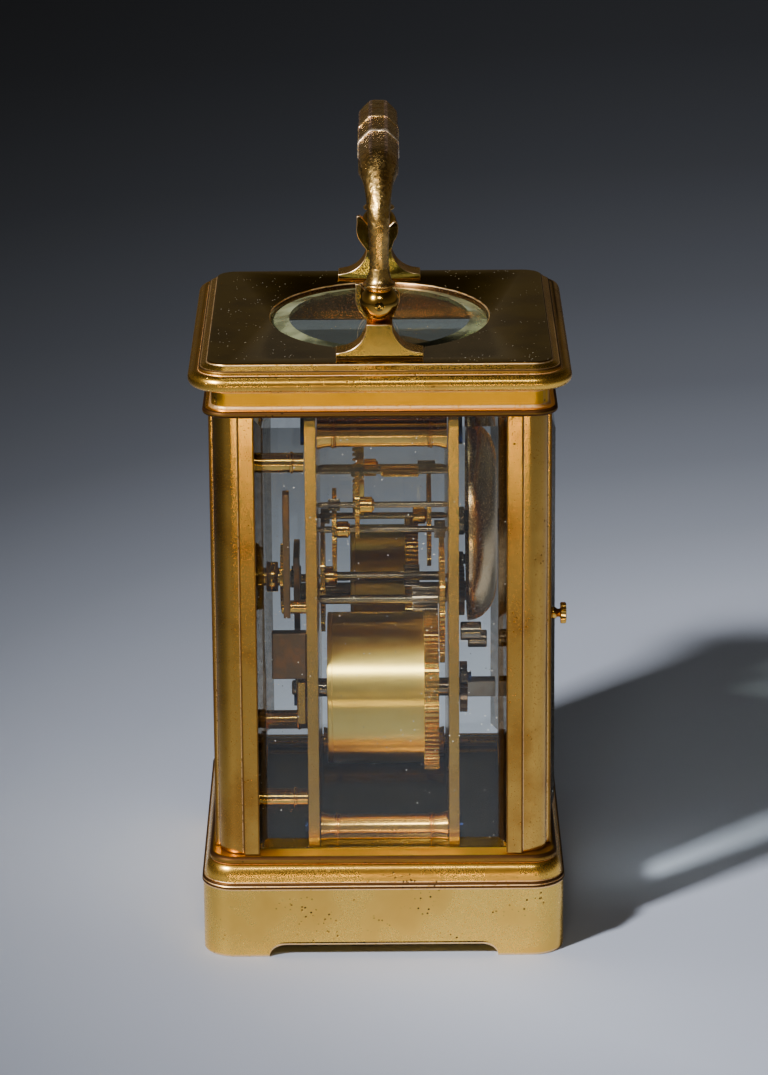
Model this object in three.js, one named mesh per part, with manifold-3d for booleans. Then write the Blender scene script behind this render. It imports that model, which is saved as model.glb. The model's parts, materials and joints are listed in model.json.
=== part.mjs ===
// A carriage clock: a glazed brass case with a folding handle and a hinged back door, round a
// two-train striking movement with a platform escapement. Millimetres, +Z up, origin at the centre
// of the base's underside. The dial faces -Y, the back door faces +Y.
import * as THREE from "three";
import { mergeVertices } from "three/addons/utils/BufferGeometryUtils.js";
import Module from "manifold-3d";

const wasm = await Module();
wasm.setup();

// ---------------------------------------------------------------- driving dimensions
const GAP = 0.3; // clearance between pieces that touch

// Case. The mouldings' round corners share one centre, so every moulding is that centre plus a radius.
const CORNER_X = 38.95;
const CORNER_Y = 34.9;
const PLINTH_R = 7.7;
const PLINTH_H = 17;
const FOOT_CUT_H = 2.9;
const FOOT_CUT_END = 27;
const BASE_TOP = 24.5;
const FLOOR_Z = 22.8;
const CORNICE_Z = 131.7;
const PANEL_Z = 144.3;
const TORUS_R = 1.9;
const PILLAR_IN_X = 33.05;
const PILLAR_IN_Y = 29;
const PILLAR_W = 10.6;
const STRIP_W = 3.8;
const STRIP_PROUD = 0.9;
const PILLAR_ROUND = 5.6;
const PILLAR_BOTTOM = BASE_TOP + GAP;
const PILLAR_TOP = CORNICE_Z - GAP;
const GLASS_T = 2.7;
const GLASS_BEVEL = 2.8;
const GLASS_BEVEL_DEPTH = 0.9;
const GROOVE = 1.5;
const OVAL_X = 31.5;
const OVAL_Y = 25.6;
const GLASS_LEDGE_Z = 141.2;

// Back door, hinged on a vertical axis at its -X edge, with a half-round hinge edge.
const DOOR_T = 3.4;
const HINGE_X = -31.1;
const HINGE_Y = 37.9;
const DOOR_EDGE_X = 32.7;
const DOOR_RAIL = 4.4;
const DOOR_PIN_R = 0.8;
const KNOB_X = 30.4;
const KNOB_Z = 79.8;

// Handle, folding about a line along X.
const PIVOT_Z = 157.2;
const BALL_X = 38;
const BALL_R = 4.43;
const BALL_FLAT_X = 34.5;
const GRIP_Z = 186;
const GRIP_FLATS = 9.2;
const GRIP_HALF = 22;
const ELBOW = 14;
const BRACKET_IN_X = 32.7;
const BRACKET_OUT_X = 40.3;
const PIN_R = 1.1;

// Movement plates and the axes of the trains, as places in the X-Z plane.
const FRONT_PLATE = [-17.6, -15];
const BACK_PLATE = [15.7, 18.1];
const PLATE_HALF = 34.5;
const PLATE_BOTTOM = FLOOR_Z + GAP;
const PLATE_TOP = 127.5;
const FRAME_PILLAR_X = 30;
const FRAME_PILLAR_LOW = 26.7;
const FRAME_PILLAR_HIGH = 124;
const PIVOT_R = 0.5;
const BARREL_ARBOR_R = 2.2;
const GOING_DRUM = { radius: 16.4, y: [-7.5, 5.7], wheelEnd: 9 };
const STRIKE_DRUM = { radius: 18, y: [-12.9, 9.9], wheelEnd: 13.4 };
const DRUM_WALL = 1.2;
const RATCHET_TIP = 6.1;
const CLICK_CLEAR = 0.15;

const STRIKE_MODULE = 0.44;
const GREAT_TEETH = 88;
const CENTRE_LEAVES = 12;
const GOING = [-18.2, 70];
const CENTRE = [0, 79.7];
const CENTRE_WHEEL_Y = [-14.5, -13.5];
const CENTRE_WHEEL = { teeth: 80, module: 0.3244, leaves: 10 };
const THIRD_WHEEL = { teeth: 75, module: 0.3169, leaves: 9 };
const CONTRATE = { teeth: 54, radius: 11.5, leaves: 6 };
const THIRD_X = -3;
const STRIKE = [17.4, 57.5];
const STRIKE_SECOND_WHEEL = { teeth: 80, module: 0.37, leaves: 10 };
const STRIKE_THIRD_WHEEL = { teeth: 64, module: 0.3, leaves: 8 };
const WARNING_WHEEL = { teeth: 56, module: 0.27, leaves: 7 };
const STRIKE_THIRD_X = 14;
const WARNING_X = 21;
const FLY_X = 15.5;
const MOTION = { cannon: 12, minute: 36, pinion: 10, hour: 40, distance: 9.6, angle: 200 };

// Dial side and back side.
const DIAL_R = 27;
const DIAL_Y = [-29.7, -28.5];
const MASK_Y = [-31.2, -30];
const DIAL_PILLAR_X = 28;
const BELL_R = 24;
const BELL_Z = 93.5;
const BELL_Y = [20.5, 27.6];

// Platform escapement on top of the plates.
const PLATFORM_Z = [PLATE_TOP + GAP, 129.3];
const BALANCE_Y = 4.4;
const LEVER_Y = -2.6;
const BALANCE_R = 8.4;

// ---------------------------------------------------------------- solids
const rad = THREE.MathUtils.degToRad;
const polar = (r, a) => [r * Math.cos(a), r * Math.sin(a)];

function toSolid(geometry) {
  const flat = geometry.index ? geometry.toNonIndexed() : geometry.clone();
  flat.deleteAttribute("normal");
  flat.deleteAttribute("uv");
  const merged = mergeVertices(flat, 1e-4);
  return new wasm.Manifold(
    new wasm.Mesh({
      numProp: 3,
      vertProperties: merged.attributes.position.array,
      triVerts: new Uint32Array(merged.index.array),
    }),
  );
}

function toGeometry(solid) {
  const mesh = solid.getMesh();
  const geometry = new THREE.BufferGeometry();
  geometry.setAttribute("position", new THREE.BufferAttribute(mesh.vertProperties, 3));
  geometry.setIndex(new THREE.BufferAttribute(mesh.triVerts, 1));
  const faceted = geometry.toNonIndexed();
  faceted.computeVertexNormals();
  return faceted;
}

const join = (...parts) => toGeometry(parts.map(toSolid).reduce((a, b) => a.add(b)));
const cut = (whole, ...parts) =>
  toGeometry(parts.map(toSolid).reduce((a, b) => a.subtract(b), toSolid(whole)));
const common = (a, b) => toGeometry(toSolid(a).intersect(toSolid(b)));

function outline(points) {
  return new THREE.Shape(points.map(([x, y]) => new THREE.Vector2(x, y)));
}

function withHole(shape, x, y, r, sides = 12) {
  const points = [...Array(sides).keys()].map((i) => {
    const [dx, dy] = polar(r, (i * 2 * Math.PI) / sides);
    return new THREE.Vector2(x + dx, y + dy);
  });
  shape.holes.push(new THREE.Path(points));
  return shape;
}

// A shape drawn in X-Y, standing from z0 to z1.
function upright(shape, [z0, z1]) {
  const made = new THREE.ExtrudeGeometry(shape, { depth: z1 - z0, bevelEnabled: false, curveSegments: 8 });
  return made.translate(0, 0, z0);
}

// A shape drawn in X-Z, running from y0 to y1.
function alongY(shape, [y0, y1]) {
  const made = new THREE.ExtrudeGeometry(shape, { depth: y1 - y0, bevelEnabled: false, curveSegments: 8 });
  return made.translate(0, 0, -y1).rotateX(Math.PI / 2);
}

// A shape drawn in Y-Z, running from x0 to x1.
function alongX(shape, [x0, x1]) {
  const made = new THREE.ExtrudeGeometry(shape, { depth: x1 - x0, bevelEnabled: false, curveSegments: 8 });
  return made.translate(0, 0, x0).rotateX(Math.PI / 2).rotateZ(Math.PI / 2);
}

// A block from its limits along each axis.
function block([x0, x1], [y0, y1], [z0, z1]) {
  const made = new THREE.BoxGeometry(x1 - x0, y1 - y0, z1 - z0);
  return made.translate((x0 + x1) / 2, (y0 + y1) / 2, (z0 + z1) / 2);
}

// A turned piece about a vertical line through (x, y). The profile is [radius, z], from the bottom up.
function turnedUp(profile, [x, y] = [0, 0], sides = 16) {
  const points = profile.map(([r, z]) => new THREE.Vector2(r, z));
  return new THREE.LatheGeometry(points, sides).rotateX(Math.PI / 2).translate(x, y, 0);
}

// A turned piece about a line along Y through (x, z). The profile is [radius, y], from the front back.
function turnedY(profile, [x, z] = [0, 0], sides = 10) {
  const points = profile.map(([r, y]) => new THREE.Vector2(r, y));
  return new THREE.LatheGeometry(points, sides).translate(x, 0, z);
}

// A turned piece about a line along X through (y, z). The profile is [radius, x], from -X to +X.
function turnedX(profile, [y, z] = [0, 0], sides = 12) {
  const points = profile.map(([r, x]) => new THREE.Vector2(r, x));
  return new THREE.LatheGeometry(points, sides).rotateZ(-Math.PI / 2).translate(0, y, z);
}

const rodProfile = (r, [a, b]) => [[0, a], [r, a], [r, b], [0, b]];
const ringProfile = (inner, outer, [a, b]) => [[inner, a], [outer, a], [outer, b], [inner, b], [inner, a]];

// ---------------------------------------------------------------- toothed wheels
// A wheel's teeth are pointed, and meet at the root. A pinion's leaves are narrower, with flat roots.
function toothed(teeth, module, phase, narrow) {
  const pitch = (teeth * module) / 2;
  const root = pitch - 1.25 * module;
  const tip = pitch + 0.95 * module;
  const step = (2 * Math.PI) / teeth;
  const points = [];
  for (let i = 0; i < teeth; i += 1) {
    const a = phase + i * step;
    if (narrow) {
      points.push(polar(root, a - step / 4));
    }
    points.push(polar(tip, a));
    points.push(polar(root, a + (narrow ? step / 4 : step / 2)));
  }
  return outline(points);
}

function wheel([x, z], teeth, module, phase, bore, ys) {
  const shape = withHole(toothed(teeth, module, phase, false), 0, 0, bore, 8);
  return alongY(shape, ys).translate(x, 0, z);
}

const pinion = ([x, z], leaves, module, phase, ys) =>
  alongY(toothed(leaves, module, phase, true), ys).translate(x, 0, z);

// The phase that puts a gap of the driven gear on a tooth of the driving gear.
function meshPhase(from, teethFrom, phaseFrom, to, teethTo) {
  const a = Math.atan2(to[1] - from[1], to[0] - from[0]);
  const share = ((a - phaseFrom) * teethFrom) / (2 * Math.PI);
  return a + Math.PI - ((2 * Math.PI) / teethTo) * (0.5 - share);
}

// The axis at x that stands a wheel's and a pinion's pitch radii away from another axis.
function axisAbove(from, x, { teeth, module, leaves }) {
  const reach = ((teeth + leaves) * module) / 2;
  return [x, from[1] + Math.sqrt(reach ** 2 - (x - from[0]) ** 2)];
}

// The going barrel's tooth size follows from its distance to the centre arbor.
const GOING_MODULE =
  (2 * Math.hypot(CENTRE[0] - GOING[0], CENTRE[1] - GOING[1])) / (GREAT_TEETH + CENTRE_LEAVES);
const THIRD = axisAbove(CENTRE, THIRD_X, CENTRE_WHEEL);
const CONTRATE_AXIS = axisAbove(THIRD, 0, THIRD_WHEEL);
const STRIKE_SECOND = [STRIKE[0], STRIKE[1] + ((GREAT_TEETH + CENTRE_LEAVES) * STRIKE_MODULE) / 2];
const STRIKE_THIRD = axisAbove(STRIKE_SECOND, STRIKE_THIRD_X, STRIKE_SECOND_WHEEL);
const WARNING = axisAbove(STRIKE_THIRD, WARNING_X, STRIKE_THIRD_WHEEL);
const FLY = axisAbove(WARNING, FLY_X, WARNING_WHEEL);
const MINUTE = [
  CENTRE[0] + MOTION.distance * Math.cos(rad(MOTION.angle)),
  CENTRE[1] + MOTION.distance * Math.sin(rad(MOTION.angle)),
];
const MOTION_AXES = [GOING, CENTRE, THIRD, CONTRATE_AXIS, STRIKE, STRIKE_SECOND, STRIKE_THIRD, WARNING, FLY];

// ---------------------------------------------------------------- the group and its finishes
const clock = new THREE.Group();
clock.name = "carriage_clock";

const FINISHES = {
  brass: { color: 0xb98d36, roughness: 0.3, metalness: 1 },
  polishedBrass: { color: 0xc99f45, roughness: 0.18, metalness: 1 },
  agedBrass: { color: 0x8a6a2c, roughness: 0.35, metalness: 1 },
  wheelBrass: { color: 0xc8a04a, roughness: 0.25, metalness: 1 },
  steel: { color: 0x8d9096, roughness: 0.25, metalness: 1 },
  darkSteel: { color: 0x3a3230, roughness: 0.35, metalness: 1 },
  bellMetal: { color: 0xb0aea6, roughness: 0.12, metalness: 1 },
  enamel: { color: 0xf2efe6, roughness: 0.25, metalness: 0 },
  glass: { color: 0xe4f0ec, roughness: 0.02, metalness: 0, transparent: true, opacity: 0.3 },
};

function add(name, geometry, finish) {
  const mesh = new THREE.Mesh(geometry, new THREE.MeshStandardMaterial(FINISHES[finish]));
  mesh.name = name;
  clock.add(mesh);
}

// ---------------------------------------------------------------- case mouldings
// A moulding with round corners: a turned corner at each corner centre, joined by straight lengths.
function moulding(profile) {
  const corners = [-1, 1].flatMap((sx) =>
    [-1, 1].map((sy) => turnedUp(profile, [sx * CORNER_X, sy * CORNER_Y], 20)),
  );
  const bottom = profile[0][1];
  const top = profile[profile.length - 1][1];
  const section = (corner) =>
    outline([
      [0, bottom],
      ...profile.slice(1, -1).map(([r, z]) => [corner + r, z]),
      [0, top],
      ...profile.slice(1, -1).reverse().map(([r, z]) => [-corner - r, z]),
    ]);
  const lengthways = alongX(section(CORNER_Y), [-CORNER_X, CORNER_X]);
  const crossways = alongY(section(CORNER_X), [-CORNER_Y, CORNER_Y]);
  return join(...corners, lengthways, crossways);
}

function baseProfile() {
  const ovolo = [0, 30, 60, 84].map((a) => [5.7 + 1.6 * Math.cos(rad(a)), 18.5 + 4 * Math.sin(rad(a))]);
  return [
    [0, 0],
    [PLINTH_R, 0],
    [PLINTH_R, PLINTH_H],
    [PLINTH_R + 0.3, PLINTH_H + 0.3],
    [PLINTH_R + 0.3, PLINTH_H + 1],
    [7.3, 18.4],
    ...ovolo,
    [5.5, 22.8],
    [6.1, 23.2],
    [6.1, 24],
    [5.7, BASE_TOP],
    [0, BASE_TOP],
  ];
}

function corniceProfile() {
  const torus = [-90, -50, 0, 50, 90].map((a) => {
    const [dr, dz] = polar(TORUS_R, rad(a));
    return [7.25 + dr, 140.2 + dz];
  });
  return [
    [0, CORNICE_Z],
    [5.6, CORNICE_Z],
    [5.9, CORNICE_Z + 0.3],
    [5.9, CORNICE_Z + 1.2],
    [5.6, 133.2],
    [3.8, 133.5],
    [3.8, 137.6],
    [6, 137.9],
    ...torus,
    [6.6, 142.4],
    [6.3, 142.8],
    [5.5, 143.6],
    [4.2, PANEL_Z],
    [0, PANEL_Z],
  ];
}

// The arch between the bracket feet, with curved ends that meet the flat top.
function footArch(half) {
  const points = [[-half - 2, -1], [-half, 0]];
  const rise = [30, 60, 90].map((a) => [-half + 4 * (1 - Math.cos(rad(a))), FOOT_CUT_H * Math.sin(rad(a))]);
  points.push(...rise);
  return outline([...points, ...points.slice().reverse().map(([x, z]) => [-x, z])]);
}

function basePlinth() {
  const hollow = block([-36, 36], [-32, 32], [-1, 17.5]);
  const well = block([-37, 37], [-PILLAR_IN_Y + GAP, PILLAR_IN_Y - GAP], [FLOOR_Z, BASE_TOP + 1]);
  const sideArch = alongX(footArch(FOOT_CUT_END), [-60, 60]);
  const frontArch = alongY(footArch(FOOT_CUT_END + CORNER_X - CORNER_Y), [-60, 60]);
  const pinHole = turnedUp(rodProfile(DOOR_PIN_R + GAP, [21.5, 26]), [HINGE_X, HINGE_Y], 8);
  return cut(moulding(baseProfile()), hollow, well, sideArch, frontArch, pinHole);
}

function ellipse(ax, ay, sides) {
  return outline([...Array(sides).keys()].map((i) => {
    const a = (i * 2 * Math.PI) / sides;
    return [ax * Math.cos(a), ay * Math.sin(a)];
  }));
}

function corniceTop() {
  const pocket = block([-36, 36], [-32, 32], [CORNICE_Z - 1, 139.6]);
  const seat = upright(ellipse(OVAL_X + GAP, OVAL_Y + GAP, 32), [GLASS_LEDGE_Z, PANEL_Z + 1]);
  const sight = upright(ellipse(OVAL_X - 2, OVAL_Y - 2, 32), [139, GLASS_LEDGE_Z + 1]);
  const pinHole = turnedUp(rodProfile(DOOR_PIN_R + GAP, [130, 134]), [HINGE_X, HINGE_Y], 8);
  return cut(moulding(corniceProfile()), pocket, seat, sight, pinHole);
}

add("base_plinth", basePlinth(), "brass");
add("cornice_top", corniceTop(), "brass");

// ---------------------------------------------------------------- corner pillars
// A square post with two flat strips, a recessed quarter-round corner, and grooves for the panes.
function pillarSection(sx, sy) {
  const x0 = PILLAR_IN_X;
  const y0 = PILLAR_IN_Y;
  const x1 = x0 + PILLAR_W;
  const y1 = y0 + PILLAR_W;
  const round = [0, 18, 36, 54, 72, 90].map((a) => {
    const [dx, dy] = polar(PILLAR_ROUND, rad(a));
    return [x1 - STRIP_PROUD - PILLAR_ROUND + dx, y1 - STRIP_PROUD - PILLAR_ROUND + dy];
  });
  const sideGroove = [[38, y0], [38, y0 + GROOVE], [41.3, y0 + GROOVE], [41.3, y0]];
  const frontGroove = [[x0, 38.6], [x0 + GROOVE, 38.6], [x0 + GROOVE, 35.3], [x0, 35.3]];
  const points = [
    [x0, y0],
    ...sideGroove,
    [x1, y0],
    [x1, y0 + STRIP_W],
    [x1 - STRIP_PROUD, y0 + STRIP_W],
    ...round,
    [x0 + STRIP_W, y1 - STRIP_PROUD],
    [x0 + STRIP_W, y1],
    [x0, y1],
    ...(sy < 0 ? frontGroove : []),
  ];
  return outline(points.map(([x, y]) => [sx * x, sy * y]));
}

for (const [side, sx] of [["left", -1], ["right", 1]]) {
  add(`pillar_front_${side}`, upright(pillarSection(sx, -1), [PILLAR_BOTTOM, PILLAR_TOP]), "brass");
  add(`pillar_back_${side}`, upright(pillarSection(sx, 1), [PILLAR_BOTTOM, PILLAR_TOP]), "brass");
}

// ---------------------------------------------------------------- glass
// A pane in the X-Z plane with its inner face at y0 and its outer face, bevelled, towards out (+1 or -1).
function pane(halfWidth, [z0, z1], y0, out) {
  const section = (a, b) =>
    outline([
      [a, 0],
      [a, GLASS_T - GLASS_BEVEL_DEPTH],
      [a + GLASS_BEVEL, GLASS_T],
      [b - GLASS_BEVEL, GLASS_T],
      [b, GLASS_T - GLASS_BEVEL_DEPTH],
      [b, 0],
    ]);
  const vertical = upright(section(-halfWidth, halfWidth), [z0, z1]);
  const standing = outline([...section(z0, z1).getPoints()].map((p) => [p.y, p.x]));
  const flat = common(vertical, alongX(standing, [-halfWidth, halfWidth]));
  if (out < 0) {
    flat.rotateZ(Math.PI);
  }
  return flat.translate(0, y0, 0);
}

const PANE_Z = [PILLAR_BOTTOM, PILLAR_TOP];
add("front_glass", pane(PILLAR_IN_X + GROOVE - GAP, PANE_Z, -35.6, -1), "glass");
add("left_glass", pane(PILLAR_IN_Y + GROOVE - GAP, PANE_Z, 38.3, 1).rotateZ(Math.PI / 2), "glass");
add("right_glass", pane(PILLAR_IN_Y + GROOVE - GAP, PANE_Z, 38.3, 1).rotateZ(-Math.PI / 2), "glass");

function topGlass() {
  const low = GLASS_LEDGE_Z + GAP;
  const profile = [[0, low], [OVAL_X, low], [OVAL_X, low + 1], [OVAL_X - 4, low + 2.4], [0, low + 2.4]];
  return turnedUp(profile, [0, 0], 32).scale(1, OVAL_Y / OVAL_X, 1);
}

add("top_glass", topGlass(), "glass");

// ---------------------------------------------------------------- back door
const DOOR_Z = [PILLAR_BOTTOM, PILLAR_TOP];
const DOOR_Y = [HINGE_Y - DOOR_T / 2, HINGE_Y + DOOR_T / 2];

function doorFrame() {
  const edge = [90, 120, 150, 180, 210, 240, 270].map((a) => {
    const [dx, dy] = polar(DOOR_T / 2, rad(a));
    return [HINGE_X + dx, HINGE_Y + dy];
  });
  const leaf = upright(outline([...edge, [DOOR_EDGE_X, DOOR_Y[0]], [DOOR_EDGE_X, DOOR_Y[1]]]), DOOR_Z);
  const pins = turnedUp(rodProfile(DOOR_PIN_R, [21.9, 133.4]), [HINGE_X, HINGE_Y], 8);
  const windowX = [-DOOR_EDGE_X + DOOR_RAIL, DOOR_EDGE_X - DOOR_RAIL];
  const windowZ = [DOOR_Z[0] + DOOR_RAIL + 1, DOOR_Z[1] - DOOR_RAIL - 1];
  const sight = block(windowX, [30, 45], windowZ);
  const seat = block(
    [windowX[0] - 1, windowX[1] + 1],
    [DOOR_Y[1] - 1.8, 45],
    [windowZ[0] - 1, windowZ[1] + 1],
  );
  const knobHole = turnedY(rodProfile(1, [35, 42]), [KNOB_X, KNOB_Z], 8);
  return cut(join(leaf, pins), sight, seat, knobHole);
}

const DOOR_GLASS_HALF = DOOR_EDGE_X - DOOR_RAIL + 1 - GAP;
const DOOR_GLASS_Z = [DOOR_Z[0] + DOOR_RAIL + GAP, DOOR_Z[1] - DOOR_RAIL - GAP];
const KNOB_PROFILE = [
  [0, DOOR_Y[0] + GAP],
  [0.7, DOOR_Y[0] + GAP],
  [0.7, DOOR_Y[1] + GAP],
  [1.35, DOOR_Y[1] + GAP],
  [1.35, 41.1],
  [0.95, 41.5],
  [2.5, 42.1],
  [2.5, 43.1],
  [2.1, 43.4],
  [0, 43.4],
];
add("back_door_frame", doorFrame(), "brass");
add("back_door_glass", pane(DOOR_GLASS_HALF, DOOR_GLASS_Z, DOOR_Y[1] - 1.8 + GAP, 1), "glass");
add("door_knob", turnedY(KNOB_PROFILE, [KNOB_X, KNOB_Z], 12), "brass");

// ---------------------------------------------------------------- handle and its brackets
// The bracket's foot tapers in two hollow curves to a narrow top, and an ear stands on its inner side.
function bracket() {
  const bottom = PANEL_Z + GAP;
  const hollow = [0, 20, 40, 60, 80].map((a) => [9.6 - 6.6 * Math.sin(rad(a)), 152.3 - 6.5 * Math.cos(rad(a))]);
  const half = [[10, bottom], [10, bottom + 1.2], ...hollow, [2.95, 152.4]];
  const mirrored = half.slice().reverse().map(([y, z]) => [-y, z]);
  const body = alongX(outline([...half, ...mirrored]), [BRACKET_IN_X, BRACKET_OUT_X]);
  const cup = [-35, -20, 0].map((a) => [4.5 * Math.cos(rad(a)), PIVOT_Z + 4.5 * Math.sin(rad(a))]);
  const cupBack = cup.slice().reverse().map(([y, z]) => [-y, z]);
  const ear = outline([[2.95, 151.8], ...cup, [2.6, 158.2], [-3.6, 160.5], ...cupBack, [-2.95, 151.8]]);
  const plate = alongX(ear, [BRACKET_IN_X, BALL_FLAT_X - GAP]);
  const hole = turnedX(rodProfile(PIN_R + GAP, [30, 45]), [0, PIVOT_Z], 8);
  return cut(join(body, plate), hole);
}

// A mirrored copy is turned the right way out again.
function mirrored(geometry) {
  const flipped = geometry.clone().scale(-1, 1, 1);
  const p = flipped.attributes.position;
  for (let i = 0; i < p.count; i += 3) {
    for (let k = 0; k < 3; k += 1) {
      const kept = p.array[(i + 1) * 3 + k];
      p.array[(i + 1) * 3 + k] = p.array[(i + 2) * 3 + k];
      p.array[(i + 2) * 3 + k] = kept;
    }
  }
  flipped.computeVertexNormals();
  return flipped;
}

// One arm: a ball with a flat inner side, a collar, a slim shaft, an elbow and a swelling shoulder.
function arm() {
  const ball = new THREE.SphereGeometry(BALL_R, 12, 8).translate(BALL_X, 0, PIVOT_Z);
  const flat = block([20, BALL_FLAT_X], [-8, 8], [PIVOT_Z - 8, PIVOT_Z + 3.9]);
  const hole = turnedX(rodProfile(PIN_R + GAP, [30, 45]), [0, PIVOT_Z], 8);
  const shaft = turnedUp(
    [[0, 160.4], [3.7, 160.4], [3.7, 161.7], [2.3, 164.4], [2.2, 168], [2.5, 172.6], [0, 172.6]],
    [BALL_X, 0],
    8,
  );
  const bend = new THREE.QuadraticBezierCurve3(
    new THREE.Vector3(BALL_X, 0, GRIP_Z - ELBOW),
    new THREE.Vector3(BALL_X, 0, GRIP_Z),
    new THREE.Vector3(BALL_X - ELBOW, 0, GRIP_Z),
  );
  const section = outline([...Array(8).keys()].map((i) => polar(2.8, (i * 2 * Math.PI) / 8)));
  const elbow = new THREE.ExtrudeGeometry(section, { steps: 4, extrudePath: bend, bevelEnabled: false });
  const shoulder = turnedX([[0, 21], [4.5, 21], [4.4, 24], [3.6, 28], [2.9, 30.5], [0, 30.5]], [0, GRIP_Z], 8);
  return join(cut(ball, flat, hole), shaft, elbow, shoulder);
}

function handle() {
  const corner = GRIP_FLATS / 2 / Math.cos(rad(22.5));
  const grip = outline([...Array(8).keys()].map((i) => {
    const [dy, dz] = polar(corner, rad(22.5 + 45 * i));
    return [dy, GRIP_Z + dz];
  }));
  const right = arm();
  return join(alongX(grip, [-GRIP_HALF, GRIP_HALF]), right, mirrored(right));
}

const PIN_PROFILE = [[0, 32.9], [PIN_R, 32.9], [PIN_R, 42.7], [0, 42.7]];
const rightBracket = bracket();
const rightPin = turnedX(PIN_PROFILE, [0, PIVOT_Z], 8);
add("handle_bracket_right", rightBracket, "brass");
add("handle_bracket_left", mirrored(rightBracket), "brass");
add("handle_pin_right", rightPin, "brass");
add("handle_pin_left", rightPin.clone().rotateZ(Math.PI), "brass");
add("handle", handle(), "agedBrass");

// ---------------------------------------------------------------- movement frame
function plate([y0, y1]) {
  const shape = outline([
    [-PLATE_HALF, PLATE_BOTTOM],
    [PLATE_HALF, PLATE_BOTTOM],
    [PLATE_HALF, PLATE_TOP],
    [-PLATE_HALF, PLATE_TOP],
  ]);
  for (const axis of MOTION_AXES) {
    const r = axis === GOING || axis === STRIKE ? BARREL_ARBOR_R : PIVOT_R;
    withHole(shape, axis[0], axis[1], (axis === CENTRE && y1 < 0 ? 1.1 : r) + GAP, 8);
  }
  return alongY(shape, [y0, y1]);
}

add("front_plate", plate(FRONT_PLATE), "polishedBrass");
add("back_plate", plate(BACK_PLATE), "polishedBrass");

// A turned pillar between the plates, with a bead and a flared foot at each end.
function framePillar(x, z) {
  const y0 = FRONT_PLATE[1] + GAP;
  const y1 = BACK_PLATE[0] - GAP;
  const profile = [[0, y0], [3.7, y0], [3.7, y0 + 1], [3, y0 + 2.4], [3.6, y0 + 3.4], [3.2, y0 + 4.4]];
  const far = profile.slice().reverse().map(([r, y]) => [r, y0 + y1 - y]);
  return turnedY([...profile, ...far], [x, z], 10);
}

for (const [side, sx] of [["left", -1], ["right", 1]]) {
  add(`frame_pillar_top_${side}`, framePillar(sx * FRAME_PILLAR_X, FRAME_PILLAR_HIGH), "polishedBrass");
  add(`frame_pillar_bottom_${side}`, framePillar(sx * FRAME_PILLAR_X, FRAME_PILLAR_LOW), "polishedBrass");
}

// ---------------------------------------------------------------- arbors
// An arbor between the plates, with a thin pivot in each, and a pinion on it.
function arbor(axis, r, leaves, module, phase, ys, ends = [FRONT_PLATE[0] + 0.6, BACK_PLATE[1] - 0.6]) {
  const shoulders = [FRONT_PLATE[1] + GAP, BACK_PLATE[0] - GAP];
  const body = turnedY(
    [
      [0, ends[0]],
      [PIVOT_R, ends[0]],
      [PIVOT_R, shoulders[0]],
      [r, shoulders[0]],
      [r, shoulders[1]],
      [PIVOT_R, shoulders[1]],
      [PIVOT_R, ends[1]],
      [0, ends[1]],
    ],
    axis,
    8,
  );
  return join(body, pinion(axis, leaves, module, phase, ys));
}

// A toothed barrel: a hollow drum for the mainspring, with the great wheel round one end.
function barrel(axis, { radius, y, wheelEnd }, module) {
  const [y0, y1] = y;
  const bore = BARREL_ARBOR_R + GAP;
  const shell = turnedY(
    [
      [bore, y0],
      [radius, y0],
      [radius, y1],
      [bore, y1],
      [bore, y1 - DRUM_WALL],
      [radius - DRUM_WALL, y1 - DRUM_WALL],
      [radius - DRUM_WALL, y0 + DRUM_WALL],
      [bore, y0 + DRUM_WALL],
      [bore, y0],
    ],
    axis,
    20,
  );
  const teeth = alongY(toothed(GREAT_TEETH, module, 0, false), [y1, wheelEnd]);
  const hub = turnedY(rodProfile(bore, [y1 - 2, wheelEnd + 1]), [0, 0], 12);
  return join(shell, cut(teeth, hub).translate(axis[0], 0, axis[1]));
}

function springPack(axis, { radius, y }) {
  const inset = DRUM_WALL + GAP;
  return turnedY(ringProfile(5, radius - inset, [y[0] + inset, y[1] - inset]), axis, 12);
}

// A winding arbor: it runs through both plates, and carries a ratchet and a square for the key.
function windingArbor(axis) {
  const body = turnedY(rodProfile(BARREL_ARBOR_R, [-21.5, 19]), axis, 12);
  const [x, z] = axis;
  const ratchet = alongY(sawteeth(24, RATCHET_TIP - 0.9, RATCHET_TIP), [18.5, 20.3]).translate(x, 0, z);
  const square = alongY(outline([[-2, -2], [2, -2], [2, 2], [-2, 2]]), [20, 27]).translate(x, 0, z);
  return join(body, ratchet, square);
}

function sawteeth(teeth, root, tip) {
  const points = [];
  for (let i = 0; i < teeth; i += 1) {
    const a = (i * 2 * Math.PI) / teeth;
    points.push(polar(root, a), polar(tip, a + 0.02));
  }
  return outline(points);
}

// A click beside a ratchet: a tapered pawl on a shoulder screw, its tip just clear of the teeth.
function click([x, z], side) {
  const [dx, dz] = [side * 8.6, 5.4];
  const away = Math.hypot(dx, dz);
  const place = (inward, across) => [
    x + dx - (inward * dx + across * dz) / away,
    z + dz - (inward * dz - across * dx) / away,
  ];
  const tip = away - RATCHET_TIP - CLICK_CLEAR;
  const pawl = outline([place(tip, 0), place(0, 1.5), place(-1.6, 1.1), place(-1.6, -1.1), place(0, -1.5)]);
  const screw = turnedY(rodProfile(1.1, [18.4, 21.2]), [x + dx, z + dz], 8);
  return join(alongY(pawl, [18.6, 20.2]), screw);
}

// ---------------------------------------------------------------- going train
const centrePhase = meshPhase(GOING, GREAT_TEETH, 0, CENTRE, CENTRE_LEAVES);
const thirdPhase = meshPhase(CENTRE, CENTRE_WHEEL.teeth, 0, THIRD, CENTRE_WHEEL.leaves);
const contratePhase = meshPhase(THIRD, THIRD_WHEEL.teeth, 0, CONTRATE_AXIS, THIRD_WHEEL.leaves);

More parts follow.
